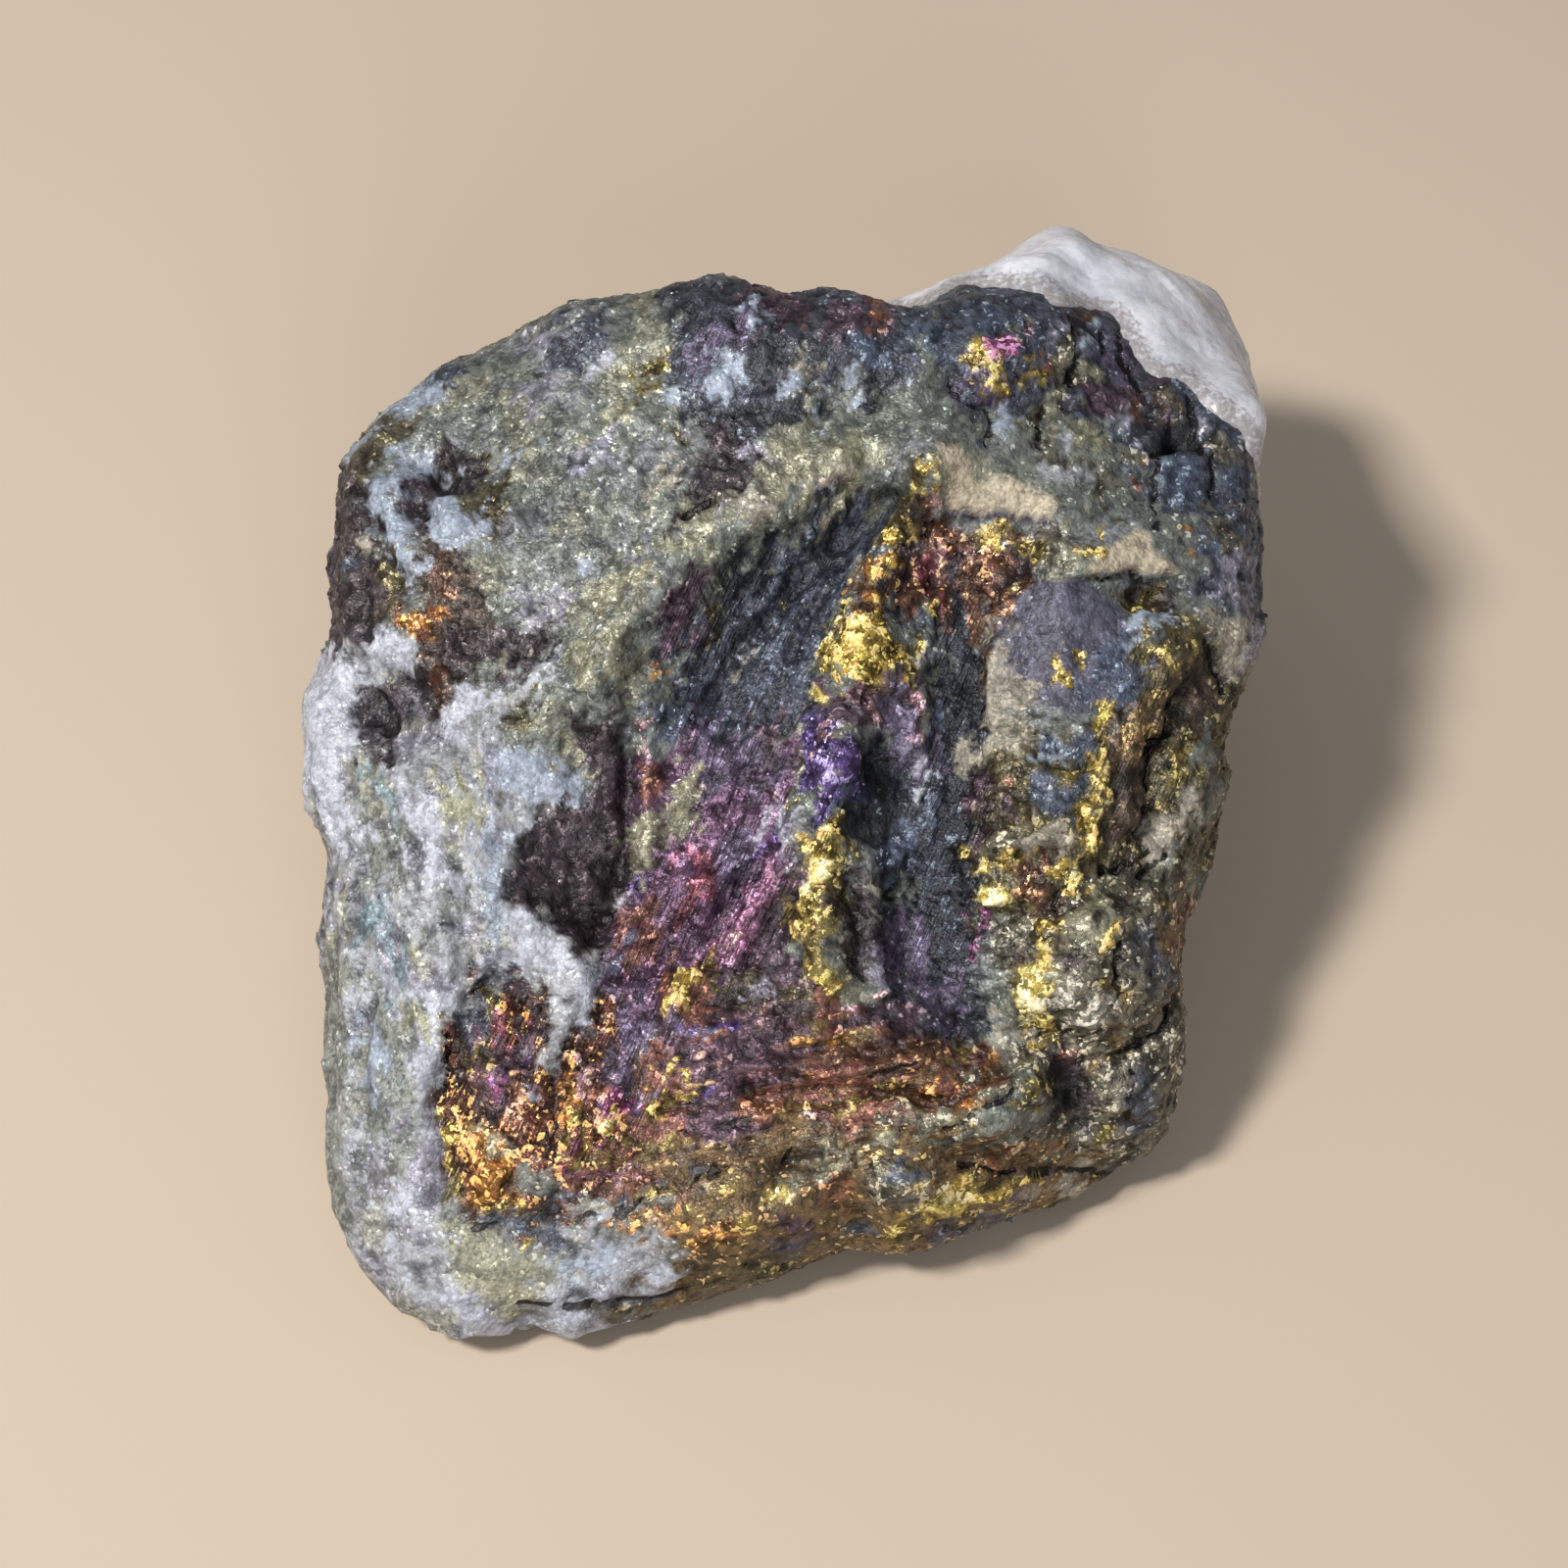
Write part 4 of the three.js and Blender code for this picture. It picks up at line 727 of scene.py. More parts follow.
# ---- Relief of the face: finer than the solid's own ------------------------------------------------
# Folds: height, half width, path. A crack is a narrow fold that goes in.
FOLDS = [
    (0.5, 0.8, [(7.4, 16.4), (6.2, 13.4), (4.9, 10.4), (4.4, 6.8),
                (3.2, 2.6), (2.6, -3.0), (2.2, -7.6), (2.2, -12.0)]),
    (-0.6, 0.7, [(6.5, 17.0), (2.0, 13.4), (-1.6, 9.2), (-4.6, 5.4)]),
    (0.3, 0.5, [(1.6, 15.0), (-0.6, 11.8), (-2.4, 8.8), (-4.2, 6.0)]),
    (-0.3, 0.5, [(3.6, 14.0), (1.6, 10.6), (0.2, 7.6)]),
    (-0.5, 0.6, [(4.1, -5.6), (4.5, -8.4), (4.9, -11.4)]),
    (0.3, 0.4, [(5.3, -6.4), (5.4, -9.0), (5.6, -12.6)]),
    (0.35, 0.5, [(0.0, -5.4), (-2.0, -7.8), (-3.8, -10.0)]),
    (-0.35, 0.5, [(0.6, -6.0), (-0.8, -8.8), (-2.2, -11.2)]),
    (0.3, 0.5, [(-1.8, -1.6), (-3.4, -4.4), (-4.8, -7.6)]),
    (-0.3, 0.5, [(-1.0, -3.6), (-2.6, -6.0), (-4.4, -9.0)]),
    (0.35, 0.7, [(-8.0, 3.6), (-8.1, 0.6), (-8.5, -4.4)]),
    (-0.5, 0.6, [(-9.4, 3.4), (-9.4, -1.0), (-9.8, -5.0), (-11.2, -9.4)]),
    (0.4, 0.6, [(-6.9, -14.3), (-6.6, -12.8), (-5.2, -11.7), (-2.0, -11.8)]),
    (0.35, 0.45, [(-6.0, -16.6), (-2.0, -16.6), (2.0, -17.2), (5.6, -17.2), (8.2, -16.4)]),
    (0.3, 0.45, [(-9.0, -21.8), (-5.0, -22.0), (-1.6, -20.6), (2.6, -19.8), (7.6, -19.6)]),
    (-0.3, 0.35, [(-7.4, -19.4), (-3.0, -19.0), (1.0, -18.6), (6.0, -18.4), (11.0, -19.4)]),
    (0.4, 0.6, [(-9.6, -17.2), (-10.8, -19.8), (-10.0, -22.2)]),
    (0.35, 0.4, [(-14.6, -17.4), (-14.2, -20.2), (-14.0, -22.0)]),
    (0.35, 0.4, [(-12.8, -16.0), (-12.4, -19.2), (-12.8, -21.6)]),
    (-0.35, 0.35, [(-13.6, -16.6), (-13.3, -19.6), (-13.4, -21.8)]),
    (0.3, 0.4, [(-16.4, -18.6), (-16.0, -21.2)]),
    (0.3, 0.5, [(-16.6, -12.4), (-17.6, -15.0), (-18.6, -17.4)]),
    (0.4, 0.5, [(12.8, 8.6), (12.5, 5.8), (13.0, 3.6)]),
    (-0.35, 0.4, [(11.8, 9.6), (11.6, 5.0), (11.7, 1.0)]),
    (0.35, 0.5, [(15.0, 3.6), (17.6, 3.2), (19.0, 2.2)]),
    (-0.4, 0.4, [(13.8, 3.0), (16.6, 1.2), (18.0, 1.2)]),
    (0.3, 0.5, [(19.8, 4.0), (19.4, 1.0), (18.8, -1.6), (18.4, -4.0)]),
    (0.35, 0.5, [(22.8, 6.6), (21.2, 3.4), (20.4, 0.4), (20.6, -2.6)]),
    (0.3, 0.4, [(24.8, 5.0), (23.6, 2.4), (22.8, 0.2)]),
    (-0.55, 0.22, [(25.3, 8.6), (25.8, 7.2), (26.3, 5.4)]),
    (-1.3, 0.33, [(24.0, 5.7), (23.2, 4.0), (22.7, 2.6), (21.9, 1.2), (21.9, -1.2), (21.3, -3.0)]),
    (-0.8, 0.24, [(22.1, -4.0), (20.9, -4.8), (19.2, -5.2)]),
    (-0.7, 0.22, [(23.2, -4.2), (22.2, -5.0), (21.4, -5.6)]),
    (-1.0, 0.28, [(23.4, -13.0), (22.7, -14.5)]),
    (-0.5, 0.22, [(22.7, -14.5), (21.6, -15.4), (20.0, -16.2)]),
    (-0.9, 0.26, [(10.3, -22.7), (11.6, -22.7), (12.8, -23.0), (13.8, -23.0)]),
    (-0.6, 0.22, [(14.6, -23.2), (17.0, -23.2), (19.6, -23.6)]),
    (-0.7, 0.22, [(-9.8, -25.8), (-7.4, -24.5), (-4.6, -23.5), (-2.6, -22.6)]),
    (-0.45, 0.2, [(-20.0, -26.4), (-17.0, -26.3), (-14.0, -26.0), (-11.4, -25.8)]),
    (-0.5, 0.22, [(5.2, -17.7), (7.6, -16.6)]),
    (-0.6, 0.35, [(-21.0, -25.0), (-21.1, -21.0), (-20.9, -18.0),
                  (-19.6, -15.2), (-18.9, -13.0), (-17.6, -11.6)]),
    (-0.7, 0.3, [(-6.0, 16.2), (-4.6, 17.3)]),
    (-0.4, 0.3, [(2.0, 21.8), (2.8, 22.9)]),
    (-0.6, 0.26, [(20.1, 27.0), (20.3, 25.2), (21.4, 23.4)]),
    (-0.7, 0.26, [(17.3, 28.2), (17.5, 26.0), (17.3, 23.8)]),
    (-0.6, 0.26, [(25.8, 19.6), (25.7, 17.6)]),
    (-0.8, 0.3, [(24.2, 23.2), (24.6, 21.8), (24.0, 20.7), (22.3, 20.1)]),
    (-0.6, 0.24, [(24.5, 20.7), (25.3, 19.9)]),
    (-0.5, 0.24, [(22.4, 19.6), (22.2, 17.6), (22.6, 15.4)]),
    (-0.5, 0.22, [(15.6, 23.0), (15.2, 21.6), (15.3, 20.4)]),
    (-0.45, 0.22, [(12.6, 22.2), (12.3, 20.6)]),
    (-0.5, 0.22, [(9.9, 24.4), (11.0, 22.9), (12.6, 22.4)]),
    (-0.5, 0.24, [(19.0, 27.4), (19.2, 25.8)]),
    (-0.5, 0.22, [(18.6, 12.4), (20.8, 12.4), (22.8, 12.2)]),
    (-0.5, 0.2, [(9.4, -20.6), (11.9, -19.5), (13.4, -18.3)]),
    (-0.45, 0.2, [(-0.4, -23.4), (0.4, -22.0), (1.6, -21.7), (2.3, -22.2)]),
    (-0.5, 0.22, [(-20.2, -15.0), (-20.3, -17.2), (-20.5, -19.0)]),
    (-0.5, 0.22, [(15.9, -7.6), (16.2, -6.7), (17.0, -6.2)]),
    (-0.5, 0.22, [(20.3, -9.2), (20.2, -10.8), (20.0, -12.6)]),
    (-0.6, 0.24, [(20.6, -17.2), (20.8, -18.8), (20.6, -20.4)]),
    (-0.4, 0.35, [(-25.4, 17.8), (-24.8, 16.2), (-24.0, 14.6), (-22.9, 12.6)]),
    (0.5, 0.9, [(-22.9, 18.0), (-23.6, 16.4), (-22.8, 14.6), (-22.4, 13.2)]),
    (-0.3, 0.3, [(-20.6, -2.0), (-20.4, -5.0)]),
    (-0.3, 0.3, [(-18.8, -11.0), (-19.6, -8.6), (-19.4, -6.0)]),
    (0.3, 0.5, [(-25.6, -10.0), (-26.4, -14.0), (-26.0, -19.0), (-26.6, -23.0)]),
    (-0.3, 0.35, [(-24.6, -12.0), (-25.2, -16.0), (-25.0, -21.0)]),
    (0.5, 0.7, [(-12.8, -9.6), (-12.4, -12.2), (-13.4, -14.6), (-14.0, -16.6)]),
    (0.35, 0.5, [(-15.0, -30.6), (-9.0, -30.2), (-6.4, -29.2)]),
    (-0.5, 0.3, [(-16.0, -31.4), (-12.6, -31.2), (-9.4, -31.0), (-6.0, -30.4)]),
]

# Steps: height, how far back the raised side runs level, path. The raised side is on the path's left.
STEPS = [
    (0.3, 2.0, [(9.4, 16.1), (13.6, 15.9), (16.8, 15.5)]),
    (0.4, 1.6, [(17.8, 12.6), (20.8, 12.8), (23.6, 12.4)]),
    (0.6, 3.0, [(14.2, -17.2), (12.2, -18.2), (9.4, -19.4), (6.4, -19.0)]),
    (0.5, 2.0, [(8.6, -15.8), (6.0, -16.6), (2.6, -16.0), (-0.8, -16.4), (-4.6, -17.0)]),
    (0.35, 1.6, [(-2.6, -22.5), (-4.6, -23.4), (-7.4, -24.3), (-9.8, -25.6)]),
    (0.45, 1.4, [(14.0, -22.8), (12.0, -22.4), (10.2, -22.4)]),
    (0.45, 1.4, [(7.4, -21.8), (3.6, -22.6), (0.4, -24.6), (-3.4, -25.8)]),
    (0.15, 1.2, [(-8.8, 9.2), (-5.6, 12.0), (-1.8, 14.6), (2.6, 16.8)]),
    (0.4, 1.0, [(2.6, 5.6), (4.6, 5.8), (6.4, 5.4), (7.8, 6.4)]),
]

# Bumps: height, place, radii.
BUMPS = [
    (0.8, (4.6, 8.2), (1.9, 1.7)), (0.5, (6.6, 7.0), (1.1, 1.0)), (0.9, (3.0, 1.8), (1.3, 1.9)),
    (0.7, (7.8, 4.6), (1.2, 1.6)), (0.4, (8.2, 2.2), (0.9, 1.0)), (0.6, (-20.0, 15.7), (1.3, 1.3)),
    (-0.8, (-20.3, 18.2), (0.9, 0.8)), (-0.6, (-21.6, 16.4), (0.6, 0.7)), (0.4, (-22.2, 10.0), (1.0, 0.9)),
    (-0.25, (-23.9, 4.0), (1.1, 1.4)), (-0.4, (-21.8, 5.4), (1.0, 1.0)), (0.5, (-27.6, 4.6), (1.3, 2.0)),
    (0.4, (-28.0, -0.4), (1.2, 1.6)), (0.5, (-24.4, 8.6), (1.2, 0.8)), (0.3, (-14.2, 4.2), (1.8, 1.6)),
    (-0.4, (-12.8, 2.6), (1.0, 1.4)), (0.3, (-19.2, -0.4), (1.6, 1.2)), (-0.5, (-12.2, -7.8), (1.5, 1.2)),
    (0.5, (-8.8, -9.2), (1.3, 1.6)), (0.5, (-5.6, -6.0), (1.2, 1.4)), (0.4, (-5.8, -0.8), (1.3, 1.0)),
    (0.4, (-8.2, -3.8), (0.9, 1.3)), (-0.5, (-6.9, 0.8), (0.4, 0.4)), (0.5, (-4.8, -14.6), (1.3, 0.8)),
    (0.4, (-5.0, -20.2), (1.5, 1.2)), (-0.7, (-2.3, -18.6), (0.5, 0.4)), (0.4, (-1.0, -20.0), (0.8, 0.5)),
    (-0.6, (0.5, -22.8), (1.3, 0.6)), (0.6, (6.9, -23.8), (1.6, 1.4)), (0.4, (6.8, -26.6), (1.3, 0.9)),
    (0.5, (2.2, -15.2), (1.2, 0.7)), (-0.7, (6.5, -6.7), (0.35, 0.3)), (0.4, (6.8, -4.2), (1.2, 0.6)),
    (-0.5, (4.1, 17.7), (0.4, 0.35)), (-0.5, (6.4, 17.2), (0.5, 0.3)), (0.4, (-3.9, 24.0), (1.1, 0.8)),
    (-0.5, (5.9, 24.0), (0.6, 0.8)), (0.5, (11.8, 25.8), (1.0, 1.0)), (0.4, (13.9, 26.4), (0.8, 0.7)),
    (-0.5, (12.8, 22.6), (1.0, 0.7)), (-0.9, (23.6, 20.7), (0.9, 0.6)), (0.5, (23.3, 22.8), (0.7, 1.0)),
    (-0.5, (21.8, 11.2), (1.2, 0.6)),
    (0.5, (21.8, 9.4), (1.0, 0.5)), (0.5, (9.2, 14.3), (0.7, 0.6)), (0.5, (11.7, 13.2), (0.7, 0.6)),
    (-0.5, (13.8, 12.8), (0.7, 0.9)), (0.4, (12.8, 15.0), (1.2, 0.6)), (0.4, (16.4, 14.0), (0.7, 0.8)),
    (0.4, (16.9, 7.0), (0.35, 0.7)), (0.5, (14.6, -1.4), (0.5, 0.5)), (0.5, (13.3, -3.8), (0.9, 0.8)),
    (0.5, (15.6, -3.4), (1.0, 0.5)), (0.6, (12.6, -6.7), (1.0, 0.6)), (0.4, (12.0, -9.4), (0.7, 0.6)),
    (0.4, (15.4, -6.2), (0.8, 1.0)), (0.6, (16.0, -9.6), (1.0, 0.9)), (0.5, (18.6, -8.0), (1.2, 1.0)),
    (0.4, (21.6, -7.4), (1.1, 1.0)), (0.5, (15.0, -12.8), (0.8, 1.4)), (0.6, (18.0, -13.2), (1.4, 0.9)),
    (0.5, (21.4, -11.6), (1.0, 1.2)), (-0.8, (17.2, -18.4), (0.8, 1.5)), (0.5, (17.2, -16.1), (0.5, 0.6)),
    (0.5, (20.6, -18.2), (1.0, 1.4)), (0.4, (13.8, -19.2), (1.5, 0.9)), (0.5, (13.0, -14.8), (0.9, 1.1)),
    (0.4, (18.6, -21.2), (1.2, 0.7)), (0.5, (9.4, -25.0), (0.9, 0.5)), (0.4, (13.0, -24.4), (1.5, 0.7)),
    (0.5, (-17.4, -23.6), (1.4, 1.1)), (0.5, (-16.8, -17.4), (1.1, 1.0)),
    (0.4, (-19.9, -20.6), (0.7, 1.2)), (0.4, (-16.2, -20.2), (1.0, 0.9)), (0.4, (-12.2, -22.4), (0.9, 0.6)),
    (0.4, (-10.8, -21.0), (1.0, 0.7)), (0.5, (-18.6, -32.2), (1.2, 0.8)), (0.5, (-12.6, -32.2), (1.0, 0.8)),
    (-0.4, (-15.2, -32.6), (0.8, 0.6)), (0.4, (-22.6, -30.8), (0.8, 0.6)), (0.3, (-17.0, -29.0), (1.8, 1.2)),
    (0.4, (0.6, -2.2), (0.7, 1.2)), (0.4, (1.4, -2.3), (0.35, 0.35)), (-0.4, (5.6, 1.4), (0.9, 1.4)),
]

# Crystals: name, the finishes they grow on, share of places taken, sizes in mm, flatness, gloss, seed.
CRYSTALS = [
    ("gold_grains", ("gold", "bright gold", "orange gold"), 0.11, (0.20, 0.50), 0.5, 0.20, 101),
    ("dull_gold_grains", ("olive gold", "yellow grey", "olive", "umber"), 0.03, (0.16, 0.36), 0.5, 0.28, 102),
    ("tarnish_grains", ("ember", "red magenta", "violet", "pink", "salmon", "fuchsia"),
     0.07, (0.16, 0.36), 0.5, 0.24, 103),
    ("steel_grains", ("steel", "silver", "slate", "slate blue"), 0.03, (0.18, 0.42), 0.45, 0.26, 104),
]

# Streaks: the way they run in degrees from x, height, spacing, length, and where: half width and path.
STREAKS = [
    (62, 0.22, 0.55, 4.5, 4.4, [(3.0, 14.0), (-2.0, 9.0), (-4.0, 6.0)]),
    (60, 0.18, 0.6, 4.0, 4.6, [(-1.0, 0.0), (-3.0, -5.0), (-6.0, -10.0)]),
    (84, 0.20, 0.6, 5.0, 2.6, [(10.6, 9.0), (10.3, 0.0), (9.0, -10.0)]),
    (84, 0.22, 0.5, 3.0, 4.4, [(-17.0, -17.0), (-11.5, -18.0), (-10.0, -14.0)]),
    (14, 0.15, 0.5, 6.0, 3.6, [(-9.0, -24.0), (-2.0, -21.0), (6.0, -20.0), (14.0, -22.0)]),
    (12, 0.08, 0.6, 4.0, 2.6, [(-4.0, -14.6), (3.0, -15.6), (10.0, -17.0)]),
    (100, 0.16, 0.7, 5.0, 6.0, [(-23.0, -2.0), (-23.0, -12.0), (-24.0, -22.0)]),
    (50, 0.12, 0.7, 3.5, 5.0, [(-14.0, 20.0), (-8.0, 14.0), (-12.0, 8.0)]),
    (66, 0.18, 0.6, 3.5, 3.4, [(21.5, 5.0), (21.0, -2.0), (23.5, -1.0)]),
    (160, 0.14, 0.6, 4.0, 4.0, [(-19.0, -29.0), (-12.0, -29.0)]),
    (66, 0.14, 0.6, 3.0, 3.0, [(-3.0, 27.0), (2.0, 24.0)]),
]

FACE_RELIEF = 1.35  # how many times their stated height folds, steps and bumps stand
RELIEF_WANDER = 0.45  # mm that they wander from their places
FADE = 1.2  # mm over which a fold or step dies out past its ends
STEP_FOOT = 0.35  # mm: half the width of the groove at the foot of a step
CRACK_HALF = 0.34  # mm: a fold narrower than this and deeper than CRACK_DEPTH is an open crack
CRACK_DEPTH = 0.42
CRACK_CUT = 0.55  # the share of its depth that a crack is cut; the rest is painted shade
CRACK_EDGE = 1.15  # half the width of that painted shade, in the crack's own half widths
CRACK_END = 0.6  # mm over which the painted shade dies out past its ends
STREAK_EDGE = 1.5  # mm on either side of its border over which a streaked place begins
STEEP = (40, 110)  # degrees from x between which streaks count as steep
SMEAR = 0.9  # how far a streak draws a patch out, in its own lengths
ROUGH_NUGGET = 0.10  # mm: a finish with nuggets this high is fully rough

# Where the milky quartz meets the ore. The quartz is on the far side of it, at the back right.
QUARTZ_CONTACT = [
    (1.6, 31.6), (7.6, 28.7), (10.4, 29.8), (13.0, 29.7), (15.3, 29.4),
    (16.0, 28.7), (18.0, 28.5), (20.0, 27.8), (20.8, 26.0), (22.0, 24.6), (24.0, 24.0),
    (25.0, 22.8), (26.5, 21.8), (27.5, 21.0), (28.0, 19.5), (28.2, 18.8), (30.6, 16.4),
]
# Ridges of the quartz: height, half width, path.
QUARTZ_RIDGES = [
    (1.0, 2.2, [(15.6, 33.8), (16.4, 32.4)]),
    (0.4, 1.8, [(17.4, 32.0), (20.0, 30.4), (21.8, 28.6)]),
    (0.6, 1.9, [(28.2, 25.0), (28.4, 22.8)]),
    (0.3, 0.9, [(26.6, 23.6), (26.0, 22.6)]),
]
QUARTZ_SINK = 0.5  # mm that the ore lies under the quartz's own skin
QUARTZ_BORDER = 0.45  # mm that the quartz's hidden border lies under the ore's surface
QUARTZ_TUCK = 0.7  # mm that the quartz reaches in under the ore
QUARTZ_SKIN = 1.2  # mm from the quartz's outside to its inner wall
QUARTZ_CLOUD = (184, 186, 194)
QUARTZ_MILK = (222, 223, 230)
QUARTZ_VEIL = (200, 202, 210)
# The darker brown-grey that the quartz takes on near the ore.
QUARTZ_NEAR_ORE = (112, 104, 98)

# ---- Grains of the materials, in mm ------------------------------------------------------------------
SMALL_GRAIN = 0.22
LARGE_GRAIN = 0.52
SUGAR_GRAIN = 0.45
FIBRE_LENGTH = 1.8
FIBRE_SPACING = 0.15
CHIP_SEEDS = (3, 7, 12)  # one for each shape of loose crystal
CHIP_BREAK = 0.16  # how far its corners are moved, for a width of 1
FINER = 2  # times that the solid's faces are split in four


def smooth(low, high, value):
    """0 below low and 1 above high, with an S between them."""
    share = np.clip((value - low) / (high - low), 0, 1)
    return share * share * (3 - 2 * share)


def curve_through(path, steps=5):
    """More points on a smooth curve through the path's own."""
    points = np.array(path, float)
    if len(points) < 3:
        return points
    held = np.vstack([2 * points[0] - points[1], points, 2 * points[-1] - points[-2]])
    out = []
    for i in range(1, len(held) - 2):
        a, b, c, d = held[i - 1:i + 3]
        for t in np.arange(steps) / steps:
            out.append(0.5 * (2 * b + (c - a) * t + (2 * a - 5 * b + 4 * c - d) * t**2
                              + (3 * b - a - 3 * c + d) * t**3))
    return np.vstack([out, points[-1:]])


def from_path(at, path):
    """For each place: its distance to the path, which side it is on, and how far past an end it is."""
    if len(path) == 1:
        distance = np.hypot(*(at - np.array(path[0])).T)
        return distance, distance, np.zeros(len(at))
    best = np.full(len(at), np.inf)
    side = np.zeros(len(at))
    past = np.zeros(len(at))
    for i in range(len(path) - 1):
        along = path[i + 1] - path[i]
        length = math.hypot(*along)
        offset = at - path[i]
        share = offset @ along / length**2
        held = np.clip(share, 0, 1)
        distance = np.hypot(*(offset - held[:, None] * along).T)
        nearer = distance < best
        best = np.where(nearer, distance, best)
        side = np.where(nearer, (along[0] * offset[:, 1] - along[1] * offset[:, 0]) / length, side)
        over = np.abs(share - held) * length
        is_end = ((i == 0) & (share < 0)) | ((i == len(path) - 2) & (share > 1))
        past = np.where(nearer, np.where(is_end, over, 0), past)
    return best, side, past


def outside(at, border):
    """Signed distance to a closed border, positive outside it."""
    border = np.array(border, float)
    distance, _, _ = from_path(at, np.vstack([border, border[:1]]))
    inside = np.zeros(len(at), bool)
    for a, b in zip(border, np.roll(border, -1, axis=0)):
        crosses = (a[1] > at[:, 1]) != (b[1] > at[:, 1])
        level = np.where(crosses, at[:, 1] - a[1], 0) / (b[1] - a[1] if b[1] != a[1] else 1)
        inside ^= crosses & (at[:, 0] < a[0] + level * (b[0] - a[0]))
    return np.where(inside, -distance, distance)


def noise_at(points, size, seed):
    """Soft noise from -1 to 1 with lumps of the given size in mm."""
    shift = Vector((seed * 17.3, seed * -9.1, seed * 4.7))
    return np.array([noise.noise(Vector(p) / size + shift) for p in points])


def grains_at(points, size, seed):
    """Rounded grains: highest in the middle of each and lowest where two meet."""
    shift = Vector((seed * 5.3, seed * 7.9, seed * -3.1))
    return np.array([0.5 - noise.voronoi(Vector(p) / size + shift)[0][0] for p in points])


def grain_shift(points, size, seed):
    """The way from each point to the middle of the grain that it is in, so that patches end on grains."""
    shift = Vector((seed * 3.7, seed * -5.9, seed * 8.3))
    middles = [noise.voronoi(Vector(p) / size + shift)[1][0] for p in points]
    return (np.array([tuple(middle - shift) for middle in middles]) * size) - points


def facets_at(points, size, seed):
    """Flat facets that each lean their own way, in units of the size."""
    shift = Vector((seed * 2.9, seed * 6.1, seed * -4.3))
    heights = []
    for p in points:
        here = Vector(p) / size + shift
        middle = noise.voronoi(here)[1][0]
        lean = 2 * noise.cell_vector(middle * 7.31) - Vector((1, 1, 1))
        heights.append((here - middle).dot(lean))
    return np.array(heights)


class Surface:
    """The stone's vertices in mm, with their place on the plan."""

    def __init__(self, mesh):
        count = len(mesh.vertices)
        flat = np.empty(count * 3)
        mesh.vertices.foreach_get("co", flat)
        self.points = flat.reshape(-1, 3) / MM
        normals = np.empty(count * 3)
        mesh.vertices.foreach_get("normal", normals)
        self.normals = normals.reshape(-1, 3)
        self.out = (self.points - np.array(FACE_POINT)) @ np.array(PLAN_OUT)
        self.plan = self.place_on_plan(self.points)
        self.facing = self.normals @ np.array(PLAN_OUT)
        self.front = smooth(-0.3, 0.05, self.facing)

    @staticmethod
    def place_on_plan(points):
        offset = points - np.array(FACE_POINT)
        spread = PLAN_TAPER / (PLAN_TAPER - offset @ np.array(PLAN_OUT))
        return np.stack([offset[:, 0] * spread, offset @ np.array(PLAN_UP) * spread], axis=1)


class Coat:
    """What each vertex of the stone is made of. A finish covers the ones laid before it."""

    def __init__(self, surface):
        points = surface.points
        count = len(points)
        self.points = points
        self.front = surface.front
        self.finish = np.zeros(count, int)
        self.look = {part: np.zeros((count, 3) if part in COLOUR_PARTS else count) for part in FINISH_PARTS}
        self.coarse = noise_at(points, 9, 1)
        self.middling = noise_at(points, 4, 2)
        self.fine = noise_at(points, 1.6, 3)
        self.ragged = noise_at(points, 0.7, 4)
        # Patches end on the borders of grains of two sizes, and wander besides.
        middles = points + grain_shift(points, 0.85, 8) + 0.6 * grain_shift(points, 0.4, 9)
        wander = np.stack([noise_at(points, 1.9, 10), noise_at(points, 1.9, 11)], axis=1) * 1.1
        self.rough_plan = surface.place_on_plan(middles) + (wander + surface.smear)
        self.calm_plan = surface.plan + CALM_SHARE * (self.rough_plan - surface.plan)

    def plan_for(self, name):
        return self.calm_plan if name in CALM else self.rough_plan

    def cover(self, name, share):
        self.finish[share > 0.5] = FINISH_NAMES.index(name)
        for part, value in zip(FINISH_PARTS, FINISHES[name]):
            if part in COLOUR_PARTS:
                value = np.array(linear(value)[:3])
                self.look[part] += (value - self.look[part]) * share[:, None]
            else:
                self.look[part] += (value - self.look[part]) * share

    def fill(self, areas):
        for name, soft, border in areas:
            gap = outside(self.plan_for(name), border)
            self.cover(name, self.front * smooth(0.5 * soft, -0.5 * soft, gap))

    def mottle(self, where, patches):
        for name, size, seed, rag, start, full, share in patches:
            cloud = noise_at(self.points, size, seed) + rag * self.ragged
            self.cover(name, where * smooth(start, full, cloud) * share)


def lay_hidden_rock(coat):
    """Plain broken rock all over, with veins of ore, matrix on the left and a few pale seams."""
    points = coat.points
    coat.cover("grey green", np.ones(len(points)))
    vein = coat.coarse + 0.5 * coat.middling + 0.25 * coat.fine
    coat.cover("slate", smooth(0.1, 0.3, vein))
    coat.cover("brown", smooth(0.05, 0.2, -vein))
    coat.cover("copper brown", smooth(0.3, 0.4, noise_at(points, 6, 5) + 0.3 * coat.fine))
    coat.mottle(1.0, ROCK_PATCHES)
    left = -points[:, 0] - MATRIX_BORDER + 6 * coat.coarse + 3 * coat.middling - 0.2 * points[:, 2]
    coat.cover("green matrix", smooth(0, 1.5, left + 3))
    coat.cover("pale matrix", smooth(0, 2, left))
    coat.cover("white matrix", smooth(0.25, 0.4, vein) * smooth(0, 2, left))
    seam = np.abs(coat.coarse + 0.3 * coat.middling - 0.12)
    coat.cover("pale matrix", smooth(0.07, 0.03, seam))


